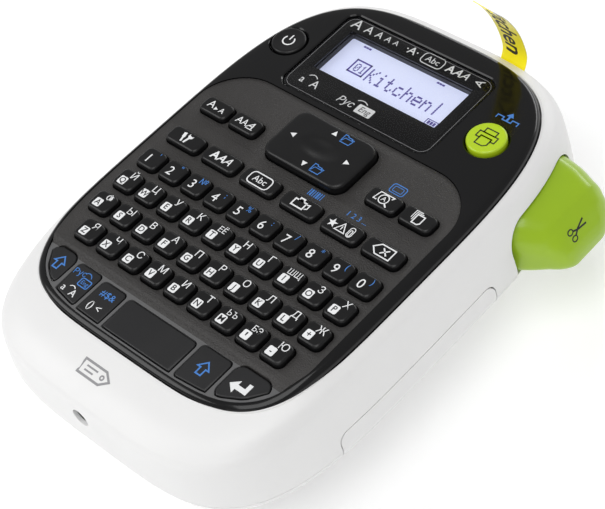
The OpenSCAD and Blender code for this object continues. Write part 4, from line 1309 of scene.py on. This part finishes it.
collar = lathe([(2.1, 13.4), (2.1, 9.4), (2.6, 9.2), (2.6, 1.5), (3.4, 1.5), (3.4, 11.2), (3.2, 11.4),
                (2.6, 11.45), (2.6, 13.2), (2.45, 13.4)],
               (-2, -62, 36), "-Y")
seat(link_mesh("socket_collar", collar, ["frame_black"]), "case", "jack_black", "dc_jack")
pin = lathe([(0.1, 1.2), (0.75, 1.2), (0.75, 8.6), (0.5, 9), (0.1, 9)], (-2, -62, 36), "-Y", 24)
seat(link_mesh("socket_pin", pin, ["steel"]), "case", "jack_black")
back = lathe([(0.1, 0.4), (3.2, 0.4), (3.2, 1.4), (0.1, 1.4)], (-2, -62, 36), "-Y", 32)
seat(link_mesh("socket_back", back, ["frame_black"]), "case", "jack_black")

screws = []
for at in SCREWS:
    screws.append(lathe([(0.1, 26.9), (1.0, 26.7), (1.1, 26.1), (1.6, 26.0), (2.0, 26.4), (2.0, 28.0),
                         (1.3, 28.1), (1.3, 38.6), (0.9, 39.0), (0.1, 39.0)], (*at, 0), "Z", 28))
seat(link_mesh("screws", joined(screws), ["steel"]), "case", "screw_steel", "case_screws")

# %% Grey tag mark on the front slope
TAG = [(-5.2, -1.9), (2.6, -1.9), (5.0, 0), (2.6, 1.9), (-5.2, 1.9)]
ink_line(turned(TAG, (-2, -67.6)), 0.62, 50, "scratch", "ink_grey", True)
ink_line(turned(circle((2.4, 0), 0.55, 16), (-2, -67.6)), 0.4, 50, "scratch", "ink_grey", True)
for k in range(2):
    ink_line(turned([(-3.6, 0.6 - 1.2 * k), (0.4 - 0.9 * k, 0.6 - 1.2 * k)], (-2, -67.6)), 0.45, 50,
             "scratch", "ink_grey")
tag = joined(INK_SHEETS.pop(("scratch", "ink_grey")))
levels = [v.co.z for v in tag.vertices]
draped(tag, top_shell, Vector((0, 0, -1)), 0.0)
for vert, level_z in zip(tag.vertices, levels):
    vert.co.z += 0.00006 if level_z > 0.05001 else -0.00003
seat(link_mesh("tag_mark", tag, ["ink_grey"], 0), "case", "white_case")

# %% Gather the ink
for (body, colour), sheets in INK_SHEETS.items():
    name = f"{body}_{colour}"
    slot_name = "key_black"
    if body == "case":
        slot_name = "deck_grey"
    elif body in ("power_button", "print_button"):
        slot_name = {"power_button": "button_black", "print_button": "button_green"}[body]
    seat(link_mesh(name, joined(sheets, name), [colour], 0), body, slot_name)
print("printed pieces:", len(INK_SHEETS))

# %% [markdown]
# ## The inside
#
# The mechanism and the electronics keep their exact model shapes, which already are right. Each gets
# the finish of its real material: moulded acetal gears, plated steel shafts and brackets, a green board.

# %% Finishes of the parts inside
INSIDE = {
    "lcd_frame": "frame_black", "lcd_panel": "lcd_ground", "lcd_backlight": "acetal",
    "keypad_mat": "silicone", "main_board": "board", "battery_cells": "cell_sleeve",
    "battery_contacts": "steel",
    "print_chassis": "grey_plastic", "drive_motor": "steel", "motor_pinion": "brass", "idler_gear": "acetal",
    "platen_roller": "rubber", "platen_shaft": "steel", "takeup_gear": "acetal",
    "takeup_spool": "grey_plastic", "supply_spool": "grey_plastic", "tape_spool": "tape_film",
    "tape_cartridge": "grey_plastic",
    "print_head": "ceramic", "head_bracket": "steel", "feed_tape": "tape_film", "lever_pin": "steel",
    "lever_spring": "steel", "cutter_blade": "steel", "fixed_blade": "steel", "nav_pivot": "frame_black"}
for node, material in INSIDE.items():
    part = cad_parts[node]
    for part_slot in part.material_slots:
        part_slot.material = FINISH[material]
    if not part.material_slots:
        part.data.materials.append(FINISH[material])
print("inside parts:", len(INSIDE))
